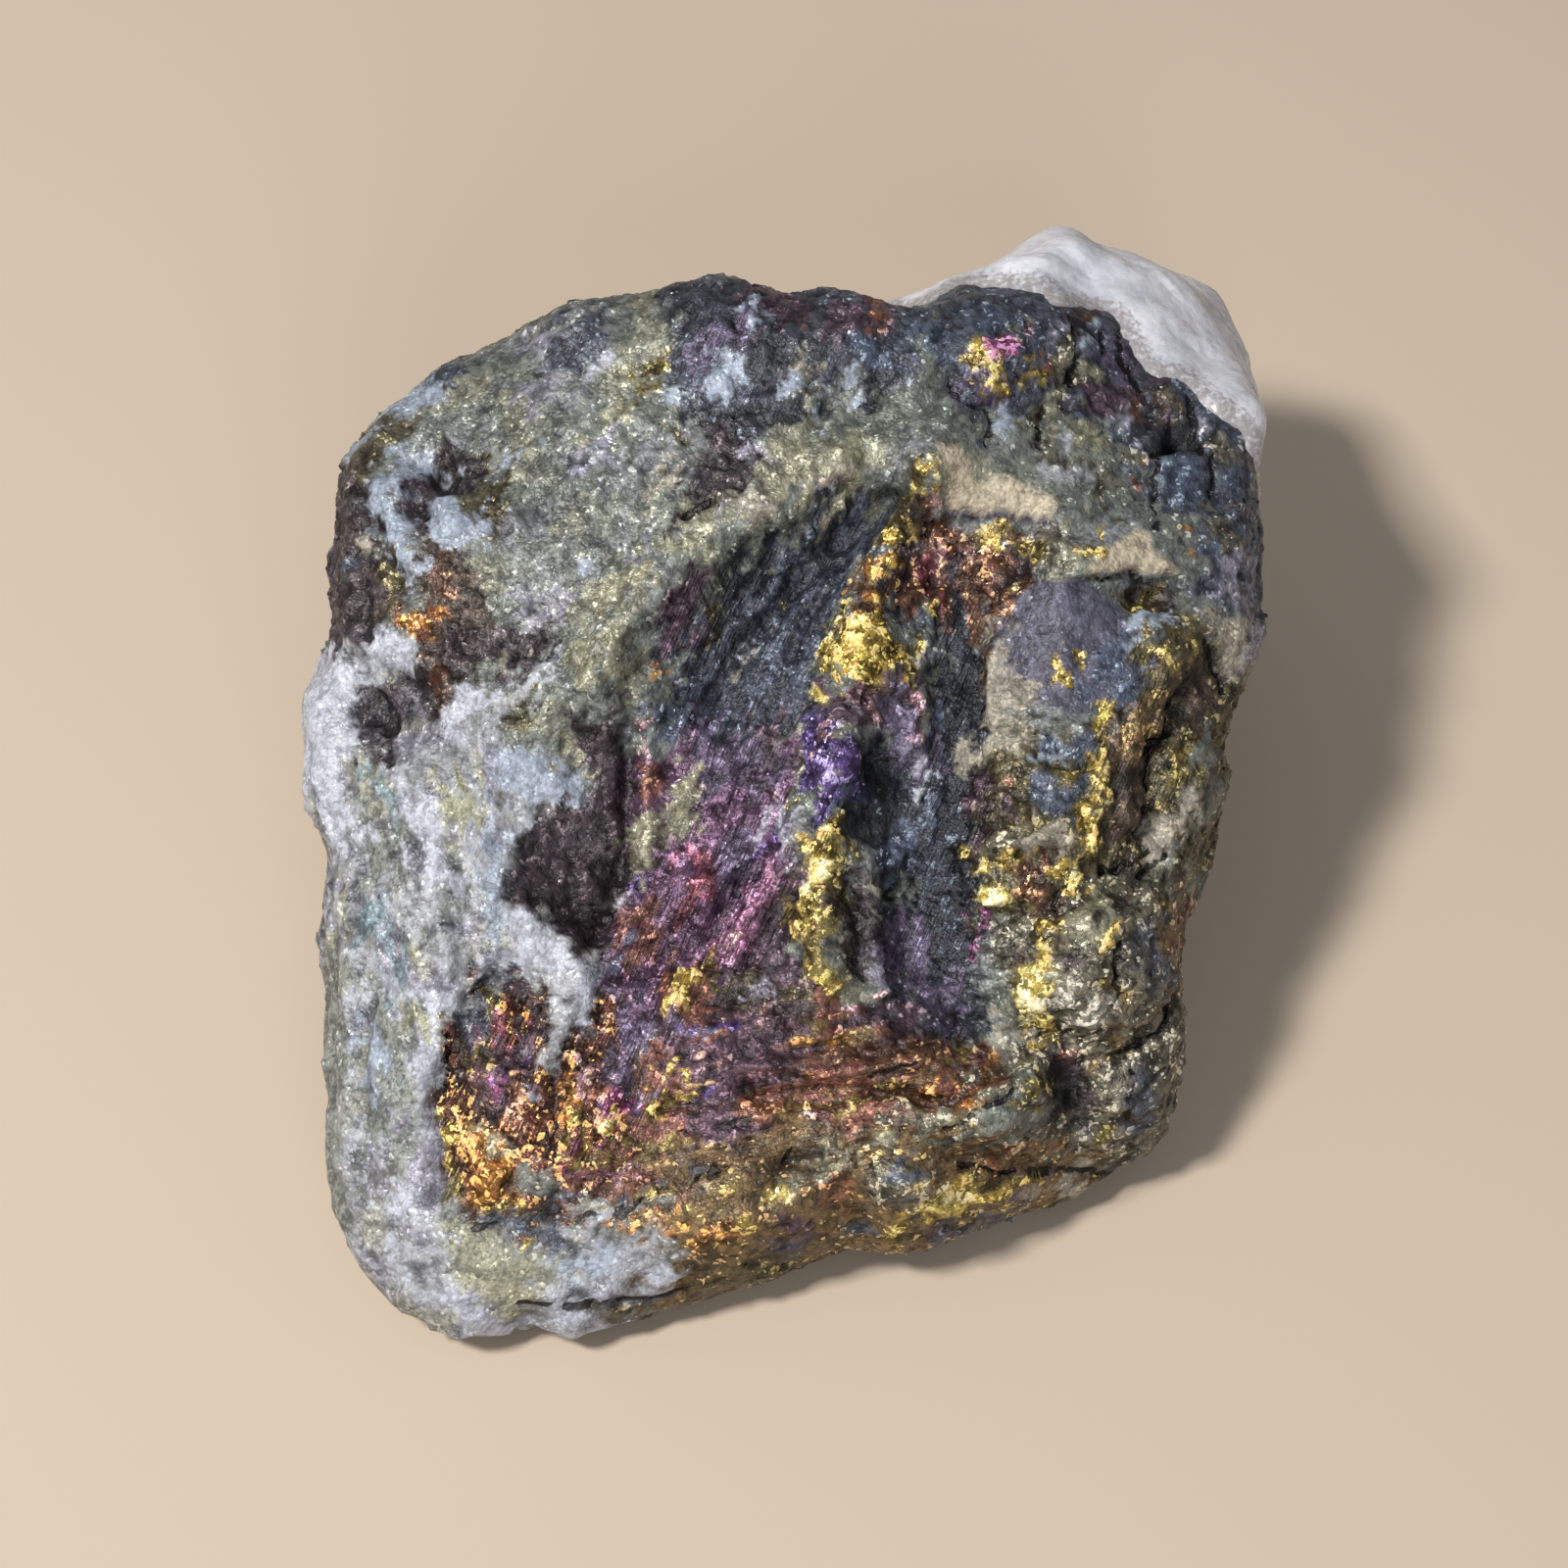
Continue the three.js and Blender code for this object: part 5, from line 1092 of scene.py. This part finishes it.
def lay_ground(coat):
    """The grey ground of the broad face, with thin clouds of other finishes in it."""
    front = coat.front
    coat.cover("grey green", front)
    coat.cover("lilac", front * smooth(0.22, 0.4, coat.middling + 0.5 * coat.ragged) * 0.35)
    coat.cover("yellow grey", front * smooth(0.15, 0.4, -coat.middling + 0.4 * coat.ragged) * 0.55)
    coat.cover("slate", front * smooth(0.2, 0.4, noise_at(coat.points, 1.2, 12) + 0.2 * coat.coarse) * 0.4)


def lay_strokes(coat):
    for name, half, path in STROKES:
        distance, _, _ = from_path(coat.plan_for(name), curve_through(path))
        soft = min(0.3, 0.35 * half)
        coat.cover(name, coat.front * smooth(half + soft, half - soft, distance) * STROKE_SHARE)


def lay_finishes(surface):
    """The hidden rock first, then the areas, mottled matrix, strokes and plates of the face over it."""
    coat = Coat(surface)
    lay_hidden_rock(coat)
    lay_ground(coat)
    coat.fill(AREAS)
    coat.mottle(coat.front * smooth(0.3, 0.1, coat.look["metal"]), MATRIX_PATCHES)
    lay_strokes(coat)
    coat.fill(PLATES)
    return coat


def plan_relief(surface):
    """Height over the solid, in mm, of the face's folds, steps and bumps, and the painted shade where cracks
    gape.
    """
    warp = np.stack([noise_at(surface.points, 1.3, 21), noise_at(surface.points, 1.3, 22)], axis=1)
    at = surface.plan + RELIEF_WANDER * warp
    height = np.zeros(len(at))
    surface.rift = np.zeros(len(at))

    for rise, half, path in FOLDS:
        distance, _, past = from_path(at, curve_through(path))
        is_crack = rise < -CRACK_DEPTH and half < CRACK_HALF
        cut = CRACK_CUT if is_crack else 1
        height += rise * cut * np.exp(-(distance / half) ** 2 - (past / FADE) ** 2)
        if is_crack:
            # Painted shade in the open crack: darkest along its line, and darker for a deeper crack.
            gape = (1 - distance / (CRACK_EDGE * half)) * min(1, 0.4 - rise)
            gape *= np.exp(-(past / CRACK_END) ** 2)
            surface.rift = np.maximum(surface.rift, gape * surface.front)
    for rise, run, path in STEPS:
        distance, side, past = from_path(at, curve_through(path))
        near = np.exp(-np.maximum(side, 0) / run - (past / FADE) ** 2) * (distance < 3 * run)
        height += rise * smooth(-0.25, 0.25, side) * near
        height -= 0.5 * rise * np.exp(-((side + STEP_FOOT) / STEP_FOOT) ** 2 - (past / FADE) ** 2)
    for rise, place, radii in BUMPS:
        apart = (at - np.array(place)) / np.array(radii)
        height += rise * np.exp(-(apart ** 2).sum(axis=1))
    return height


def lay_streaks(surface):
    """Long fine ridges where the ore grew or tore in one direction, and how far they smear its patches."""
    count = len(surface.plan)
    surface.ridges = np.zeros(count)
    surface.smear = np.zeros((count, 2))
    surface.steep = np.zeros(count)
    surface.level = np.zeros(count)
    for turn, rise, spacing, length, half, path in STREAKS:
        distance, _, _ = from_path(surface.plan, curve_through(path))
        share = smooth(half + STREAK_EDGE, half - STREAK_EDGE, distance) * surface.front
        way = np.array([math.cos(math.radians(turn)), math.sin(math.radians(turn))])
        along = surface.plan @ way
        across = surface.plan @ np.array([-way[1], way[0]])
        bent = across + 0.5 * noise_at(surface.points, 3.0, turn)
        cells = np.stack([along / length, bent / spacing, surface.out / 3], axis=1)
        ridge = noise_at(cells, 1.0, turn + 1) + 0.5 * noise_at(cells, 0.45, turn + 2)
        surface.ridges += rise * share * ridge
        surface.smear += SMEAR * length * (share * noise_at(cells, 1.3, turn + 3))[:, None] * way
        if STEEP[0] < turn < STEEP[1]:
            surface.steep = np.maximum(surface.steep, share)
        else:
            surface.level = np.maximum(surface.level, share)


def past_contact(surface):
    """How far each vertex lies on the quartz's side of its contact with the ore, in mm.

    Behind the broad face the quartz spreads further, and near the ground the ore takes its place.
    """
    _, side, _ = from_path(surface.plan, curve_through(QUARTZ_CONTACT))
    behind = np.maximum(0, -12 - surface.out) * smooth(3, 13, surface.points[:, 0])
    ragged = 0.5 * noise_at(surface.points, 1.6, 41) + 0.8 * noise_at(surface.points, 4.0, 42)
    low = 6 * smooth(6, 1, surface.points[:, 2])
    return side + 0.45 * behind + ragged * smooth(-10, -18, surface.out) - low


def shape_stone(surface, look):
    """The stone's vertices with their fine relief, and the numbers that its material needs.

    Every height here is in mm. The number for crests and hollows is 0.5 where level, more where the surface
    stands out and less in a hollow; the material paints light on crests and shade in hollows by it.
    """
    points = surface.points
    front = surface.front
    lumps = 0.5 - np.abs(noise_at(points, 2.2, 31)) - 0.25
    hackle = 0.5 - np.abs(noise_at(points, 1.0, 32)) - 0.25
    nuggets = grains_at(points, 0.95, 33)
    gravel = noise_at(points, 0.45, 34)
    slabs = 0.5 - np.abs(noise_at(points, 4.5, 35)) - 0.3
    chips = facets_at(points, 2.3, 36)
    flakes = facets_at(points, 0.9, 37)
    rough = np.clip(look["nugget"] / ROUGH_NUGGET, 0.35, 1.3)
    fine = 1.1 * look["nugget"] * nuggets + 0.09 * rough * gravel + 0.26 * rough * hackle + surface.ridges
    fine += 0.24 * rough * flakes
    folds = FACE_RELIEF * plan_relief(surface)
    height = front * folds + fine + rough * (0.26 * lumps + 0.42 * chips) + (1 - front) * 1.1 * slabs
    past = past_contact(surface)
    height *= 1 - 0.65 * smooth(-1.8, -0.2, past)  # no thorns where the ore's edge lies on the quartz
    height += (-QUARTZ_SINK - height) * smooth(0.0, 1.2, past)
    ground = smooth(0.3, 1.6, points[:, 2])  # the flat spot stays flat
    moved = points + surface.normals * (height * ground)[:, None]
    moved[:, 2] = np.maximum(moved[:, 2], 0)
    # Painted light and shade: lighter where the fine relief stands out, darker in its hollows and in folds
    # that go in.
    crest_shading = np.clip(0.5 + 1.9 * fine + 0.4 * rough * lumps + 0.45 * np.minimum(front * folds, 0.15), 0, 1)
    return moved, {"crest_shading": crest_shading, "steep": surface.steep, "level": surface.level, "rift": surface.rift}


def shape_quartz(surface, past):
    """The quartz's own skin: broad conchoidal hollows with a sugary break, its border under the ore's."""
    points = surface.points
    hollows = np.abs(noise_at(points, 5.0, 43)) - 0.25
    broken = facets_at(points, 4.0, 44)
    sugar = grains_at(points, 0.7, 45)
    height = 0.25 + 0.12 * hollows + 0.16 * broken + 0.04 * sugar + 0.04 * noise_at(points, 0.6, 46)
    for rise, half, path in QUARTZ_RIDGES:
        distance, _, _ = from_path(surface.plan, curve_through(path))
        height += rise * np.exp(-(distance / half) ** 2)
    height = np.maximum(height, -0.15)
    height += (-QUARTZ_BORDER - height) * smooth(0.5, -0.5, past)
    return points + surface.normals * height[:, None]


def copy_of_stone(name):
    """The solid's own surface, made finer and smoother."""
    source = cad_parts[STONE]
    piece = source.copy()
    piece.data = source.data.copy()
    piece.name = name
    piece.data.name = name
    bpy.context.collection.objects.link(piece)
    bpy.ops.object.select_all(action="DESELECT")
    piece.select_set(True)
    bpy.context.view_layer.objects.active = piece
    bpy.ops.object.mode_set(mode="EDIT")
    bpy.ops.mesh.select_all(action="SELECT")
    bpy.ops.mesh.remove_doubles(threshold=1e-6)
    bpy.ops.object.mode_set(mode="OBJECT")
    finer = piece.modifiers.new("finer", "SUBSURF")
    finer.levels = FINER
    finer.render_levels = FINER
    bpy.ops.object.modifier_apply(modifier="finer")
    piece.data.materials.clear()
    return piece


def set_points(mesh, points):
    mesh.vertices.foreach_set("co", (points * MM).ravel())
    mesh.update()


def keep_number(mesh, name, values):
    mesh.attributes.new(name, "FLOAT", "POINT").data.foreach_set("value", values)


def keep_colour(mesh, name, values):
    rgba = np.ones((len(values), 4))
    rgba[:, :3] = values
    mesh.attributes.new(name, "FLOAT_COLOR", "POINT").data.foreach_set("color", rgba.ravel())


# ---- Materials ---------------------------------------------------------------------------------------
class Shader:
    """A material's nodes, laid with one short call each."""

    def __init__(self, name):
        self.material = bpy.data.materials.new(name)
        self.material.use_nodes = True
        self.tree = self.material.node_tree
        self.surface = self.tree.nodes["Principled BSDF"]

    def node(self, kind, inputs=None, **settings):
        made = self.tree.nodes.new(kind)
        for key, value in settings.items():
            setattr(made, key, value)
        for key, value in (inputs or {}).items():
            self.put(made.inputs[key], value)
        return made

    def put(self, socket, value):
        if isinstance(value, bpy.types.NodeSocket):
            self.tree.links.new(value, socket)
        else:
            socket.default_value = value

    def kept(self, name, output="Fac"):
        return self.node("ShaderNodeAttribute", attribute_name=name).outputs[output]

    def millimetres(self):
        place = self.node("ShaderNodeTexCoord").outputs["Object"]
        return self.node("ShaderNodeVectorMath", {0: place, 3: 1 / MM}, operation="SCALE").outputs[0]

    def noise(self, place, size, detail):
        inputs = {"Vector": place, "Scale": 1 / size, "Detail": detail}
        return self.node("ShaderNodeTexNoise", inputs).outputs["Fac"]

    def cells(self, place, size):
        return self.node("ShaderNodeTexVoronoi", {"Vector": place, "Scale": 1 / size}, feature="F1")

    def chances(self, cells):
        """Three random numbers for each cell."""
        return self.node("ShaderNodeSeparateColor", {0: cells.outputs["Color"]}).outputs

    def sum(self, operation, a, b, held=False):
        return self.node("ShaderNodeMath", {0: a, 1: b}, operation=operation, use_clamp=held).outputs[0]

    def plus(self, a, b):
        return self.sum("ADD", a, b)

    def minus(self, a, b, held=False):
        return self.sum("SUBTRACT", a, b, held)

    def times(self, a, b):
        return self.sum("MULTIPLY", a, b)

    def weighed(self, *terms):
        """The sum of values, each times its own weight."""
        total = 0.0
        for value, weight in terms:
            inputs = {0: value, 1: weight, 2: total}
            total = self.node("ShaderNodeMath", inputs, operation="MULTIPLY_ADD").outputs[0]
        return total

    def scaled(self, vector, amount):
        return self.node("ShaderNodeVectorMath", {0: vector, 3: amount}, operation="SCALE").outputs[0]

    def along(self, place, turn, length, spacing):
        """Places stretched on the plan: length mm along a way turned from x, and spacing mm across it."""
        c, s = math.cos(math.radians(turn)), math.sin(math.radians(turn))
        lengthwise = (Vector((c, 0, 0)) + PLAN_UP * s) / length
        crosswise = (Vector((-s, 0, 0)) + PLAN_UP * c) / spacing
        parts = {}
        for axis, way in enumerate((lengthwise, crosswise, PLAN_OUT / length)):
            dot = self.node("ShaderNodeVectorMath", {0: place, 1: way}, operation="DOT_PRODUCT")
            parts[axis] = dot.outputs["Value"]
        return self.node("ShaderNodeCombineXYZ", parts).outputs[0]

    def blend(self, share, a, b):
        """Colour a where the share is 0, and colour b where it is 1."""
        return self.node("ShaderNodeMix", {0: share, 6: a, 7: b}, data_type="RGBA").outputs[2]

    def hued(self, colour, hue, saturation=1.0):
        """The colour turned in hue, where a hue of 0.5 leaves it as it is."""
        inputs = {"Hue": hue, "Color": colour, "Saturation": saturation}
        return self.node("ShaderNodeHueSaturation", inputs).outputs[0]

    def leaned(self, normal, cells, amount):
        """The normal tipped in each cell's own way."""
        inputs = {0: cells.outputs["Color"], 1: (0.5, 0.5, 0.5)}
        lean = self.node("ShaderNodeVectorMath", inputs, operation="SUBTRACT").outputs[0]
        inputs = {0: normal, 1: self.scaled(lean, amount)}
        return self.node("ShaderNodeVectorMath", inputs, operation="ADD").outputs[0]

    def bump(self, normal, relief, strength, height):
        """Gives the surface this normal, with a relief of this height in mm."""
        normal = self.node("ShaderNodeVectorMath", {0: normal}, operation="NORMALIZE").outputs[0]
        inputs = {"Strength": strength, "Distance": height * MM, "Height": relief, "Normal": normal}
        self.put(self.surface.inputs["Normal"], self.node("ShaderNodeBump", inputs).outputs[0])

    def span(self, value, low, high, to_low=0.0, to_high=1.0, kind="SMOOTHSTEP"):
        inputs = {"Value": value, "From Min": low, "From Max": high, "To Min": to_low, "To Max": to_high}
        return self.node("ShaderNodeMapRange", inputs, interpolation_type=kind).outputs[0]


def ore_fibres(s, place, metal):
    """Fine fibres where the ore has steep or level streaks, strongest where it is metal."""
    fibres = 0.0
    for name, turn, strength in (("steep", 66, 1.0), ("level", 12, 0.5)):
        fibre = s.minus(s.noise(s.along(place, turn, FIBRE_LENGTH, FIBRE_SPACING), 1, 3), 0.5)
        fibres = s.plus(fibres, s.times(s.times(fibre, strength), s.kept(name)))
    return s.times(fibres, s.span(metal, 0.28, 0.44, 0.1, 1.0))


def ore_material():
    """Grains of two sizes with painted shade in the pits between them and in open cracks, fibres, painted
    glints and flakes.
    """
    s = Shader("tarnished ore")
    place = s.millimetres()
    small = s.cells(place, SMALL_GRAIN)
    large = s.cells(place, LARGE_GRAIN)
    small_chances = s.chances(small)
    large_chances = s.chances(large)
    metal = s.kept("metal")
    gap = s.kept("gap")
    crest_shading = s.minus(s.kept("crest_shading"), 0.5)
    fibres = ore_fibres(s, place, metal)
    # Where painted shade darkens the open cracks, with a ragged edge.
    crack = s.span(s.weighed((s.kept("rift"), 1.0), (s.noise(place, 0.5, 3), 0.7)), 0.70, 0.90)
    # Ore is broken in larger grains than the matrix is.
    coarse = s.span(metal, 0.15, 0.5, 0.3, 0.62)

    def of_grain(part):
        apart = s.minus(large_chances[part], small_chances[part])
        return s.plus(small_chances[part], s.times(apart, coarse))

    # How light each grain is: its own chance, its neighbours' and how far it stands out,
    # which paints light on crests and shade in hollows.
    level = s.weighed((of_grain(0), 0.6), (s.noise(place, 0.35, 4), 0.34), (s.noise(place, 1.1, 3), 0.34),
                      (crest_shading, 1.1))
    light = s.span(s.plus(level, s.times(fibres, 1.5)), 0.36, 0.92)
    dim = s.minus(1.0, gap)
    value = s.plus(dim, s.times(light, s.minus(1.5, dim)))
    # Painted shade: grains meet in darkened pits, and open cracks run darkened between them.
    apart = s.weighed((large.outputs["Distance"], 0.65), (small.outputs["Distance"], 0.35))
    pit_shade = s.times(s.span(apart, 0.44, 0.74), s.times(gap, 0.75))
    value = s.times(value, s.minus(1.0, pit_shade))
    value = s.times(value, s.minus(1.0, s.times(crack, 0.9)))
    body = s.scaled(s.kept("body", "Color"), value)
    # Tarnish drifts in hue from grain to grain, most where the metal is bare.
    drift = s.times(s.minus(s.noise(place, 0.9, 3), 0.5), metal)
    body = s.hued(body, s.plus(0.5, s.times(drift, 0.12)), 0.95)
    # Painted glints: the grains whose chance is under the finish's share, and more of them on crests,
    # take the bright glint colour and half their metal, so they stay bright under any light.
    chance = s.weighed((of_grain(1), 1.0), (crest_shading, -0.45), (fibres, -0.8), (crack, 1.0))
    glint = s.span(s.minus(s.kept("glitter"), chance), 0.0, 0.05)
    own = s.minus(small_chances[2], 0.5)
    shift = s.times(own, s.times(metal, 0.14))
    bare = s.hued(s.kept("glint", "Color"), s.plus(0.49, shift))
    s.put(s.surface.inputs["Base Color"], s.blend(glint, body, bare))
    s.put(s.surface.inputs["Metallic"], s.times(metal, s.minus(1.0, s.times(glint, 0.5))))
    rough = s.plus(s.kept("gloss"), s.times(own, 0.2))
    s.put(s.surface.inputs["Roughness"], s.minus(rough, s.times(glint, 0.12), held=True))
    # Flakes: each grain looks its own way.
    tilt = s.kept("flake")
    normal = s.node("ShaderNodeNewGeometry").outputs["Normal"]
    for cells, share in ((small, 0.7), (large, 0.9)):
        normal = s.leaned(normal, cells, s.times(tilt, share))
    dome = s.times(large.outputs["Distance"], large.outputs["Distance"])
    relief = s.weighed((s.noise(place, 0.3, 4), 1.0), (small.outputs["Distance"], -0.35),
                       (dome, s.times(gap, -1.2)), (fibres, 1.2), (crack, -1.0))
    s.bump(normal, relief, strength=0.8, height=0.12)
    return s.material


def grain_material(name, gloss):
    """Small bare crystals, each of the colour that it carries."""
    s = Shader(name)
    place = s.millimetres()
    tone = s.span(s.noise(place, 0.25, 3), 0.35, 0.65, 0.6, 1.15)
    s.put(s.surface.inputs["Base Color"], s.scaled(s.kept("glint", "Color"), tone))
    s.put(s.surface.inputs["Metallic"], s.kept("metal"))
    s.put(s.surface.inputs["Roughness"], s.span(s.noise(place, 0.4, 2), 0.3, 0.7, gloss, gloss + 0.2))
    return s.material


def quartz_material():
    """Cloudy milk with a sugary break, darker and browner where it meets the ore."""
    s = Shader("milky quartz")
    place = s.millimetres()
    cloud = s.span(s.noise(place, 5.0, 4), 0.35, 0.65)
    milk = s.blend(cloud, linear(QUARTZ_CLOUD), linear(QUARTZ_MILK))
    veil = s.span(s.noise(place, 1.3, 5), 0.42, 0.7)
    milk = s.blend(veil, milk, linear(QUARTZ_VEIL))
    # Darker and browner towards where it meets the ore.
    near_ore = s.weighed((s.kept("edge"), 1.0), (s.noise(place, 0.35, 5), 1.0))
    darker_near_ore = s.blend(s.span(near_ore, 1.1, 1.55, 0.0, 0.75), milk, linear(QUARTZ_NEAR_ORE))
    s.put(s.surface.inputs["Base Color"], darker_near_ore)
    cells = s.cells(place, SUGAR_GRAIN)
    s.put(s.surface.inputs["Roughness"], s.span(s.chances(cells)[0], 0, 1, 0.22, 0.55, "LINEAR"))
    s.surface.inputs["IOR"].default_value = 1.54
    s.surface.inputs["Subsurface Weight"].default_value = 0.35
    s.surface.inputs["Subsurface Radius"].default_value = (0.0014, 0.0013, 0.0012)
    s.surface.inputs["Subsurface Scale"].default_value = 1.0
    normal = s.leaned(s.node("ShaderNodeNewGeometry").outputs["Normal"], cells, 0.16)
    relief = s.weighed((s.noise(place, 0.6, 4), 1.0), (cells.outputs["Distance"], -0.2))
    s.bump(normal, relief, strength=0.4, height=0.1)
    return s.material


# ---- Quartz and loose crystals -------------------------------------------------------------------------
def make_quartz():
    """The lump of quartz: the part of the stone's surface past the contact, with an inner wall of its own."""
    piece = copy_of_stone("milky_quartz")
    skin = Surface(piece.data)
    past = past_contact(skin)
    keep_number(piece.data, "edge", smooth(2.4, 0.0, past))
    set_points(piece.data, shape_quartz(skin, past))
    bpy.ops.object.mode_set(mode="EDIT")
    bpy.ops.mesh.select_mode(type="VERT")
    bpy.ops.mesh.select_all(action="DESELECT")
    bpy.ops.object.mode_set(mode="OBJECT")
    piece.data.vertices.foreach_set("select", past < -QUARTZ_TUCK)
    bpy.ops.object.mode_set(mode="EDIT")
    bpy.ops.mesh.delete(type="VERT")
    bpy.ops.object.mode_set(mode="OBJECT")
    wall = piece.modifiers.new("wall", "SOLIDIFY")
    wall.thickness = QUARTZ_SKIN * MM
    wall.offset = -1
    bpy.ops.object.modifier_apply(modifier="wall")
    piece.data.shade_smooth()
    piece.data.materials.append(quartz_material())
    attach(piece, BODY)


def chip_shapes():
    """Three broken crystals, each with twenty flat faces, about 1 mm across."""
    shapes = []
    for seed in CHIP_SEEDS:
        bpy.ops.object.select_all(action="DESELECT")
        bpy.ops.mesh.primitive_ico_sphere_add(subdivisions=1, radius=0.5)
        chip = bpy.context.object
        bpy.ops.object.mode_set(mode="EDIT")
        bpy.ops.transform.vertex_random(offset=CHIP_BREAK, seed=seed)
        bpy.ops.object.mode_set(mode="OBJECT")
        corners = np.array([tuple(v.co) for v in chip.data.vertices])
        faces = np.array([tuple(face.vertices) for face in chip.data.polygons])
        shapes.append((corners, faces))
        bpy.data.objects.remove(chip)
    return shapes


def scatter(points, facing, coat, name, finishes, share, sizes, flatness, gloss, seed):
    """Crystals on the broad face wherever it has these finishes, joined in one mesh."""
    chance = np.random.default_rng(seed)
    look = coat.look
    kinds = [FINISH_NAMES.index(finish) for finish in finishes]
    where = np.flatnonzero(np.isin(coat.finish, kinds) & (facing > 0.02))
    where = where[chance.random(len(where)) < share]
    corners, faces, colours, metals = [], [], [], []
    shapes = chip_shapes()
    count = 0
    for vertex in where:
        shape, sides = shapes[chance.integers(len(shapes))]
        turn = Euler(chance.random(3) * 2 * math.pi).to_matrix()
        size = chance.uniform(*sizes)
        chip = (shape * (size, size * chance.uniform(0.6, 1.0), size * flatness)) @ np.array(turn)
        corners.append(points[vertex] + chip)
        faces.append(sides + count)
        body = look["body"][vertex]
        own = body + (look["glint"][vertex] - body) * chance.uniform(-0.1, 1.1)
        tint = own * chance.uniform(0.5, 1.1)
        colours.append(np.repeat(tint[None], len(shape), axis=0))
        metals.append(np.full(len(shape), look["metal"][vertex]))
        count += len(shape)
    mesh = bpy.data.meshes.new(name)
    mesh.from_pydata((np.vstack(corners) * MM).tolist(), [], np.vstack(faces).tolist())
    piece = bpy.data.objects.new(name, mesh)
    bpy.context.collection.objects.link(piece)
    keep_colour(mesh, "glint", np.clip(np.vstack(colours), 0, 1))
    keep_number(mesh, "metal", np.concatenate(metals))
    mesh.materials.append(grain_material(name.replace("_", " "), gloss))
    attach(piece, BODY)


# ---- The stone ----------------------------------------------------------------------------------------
make_camera()
light_the_studio()
make_floor()
make_quartz()

body_piece = copy_of_stone("ore_body")
surface = Surface(body_piece.data)
lay_streaks(surface)
coat = lay_finishes(surface)
points, relief = shape_stone(surface, coat.look)
set_points(body_piece.data, points)
for part, values in coat.look.items():
    if part in COLOUR_PARTS:
        keep_colour(body_piece.data, part, values)
    else:
        keep_number(body_piece.data, part, values)
for name, values in relief.items():
    keep_number(body_piece.data, name, values)
body_piece.data.shade_smooth()
body_piece.data.materials.append(ore_material())
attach(body_piece, BODY)
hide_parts(STONE)
for crystals in CRYSTALS:
    scatter(points, surface.facing, coat, *crystals)
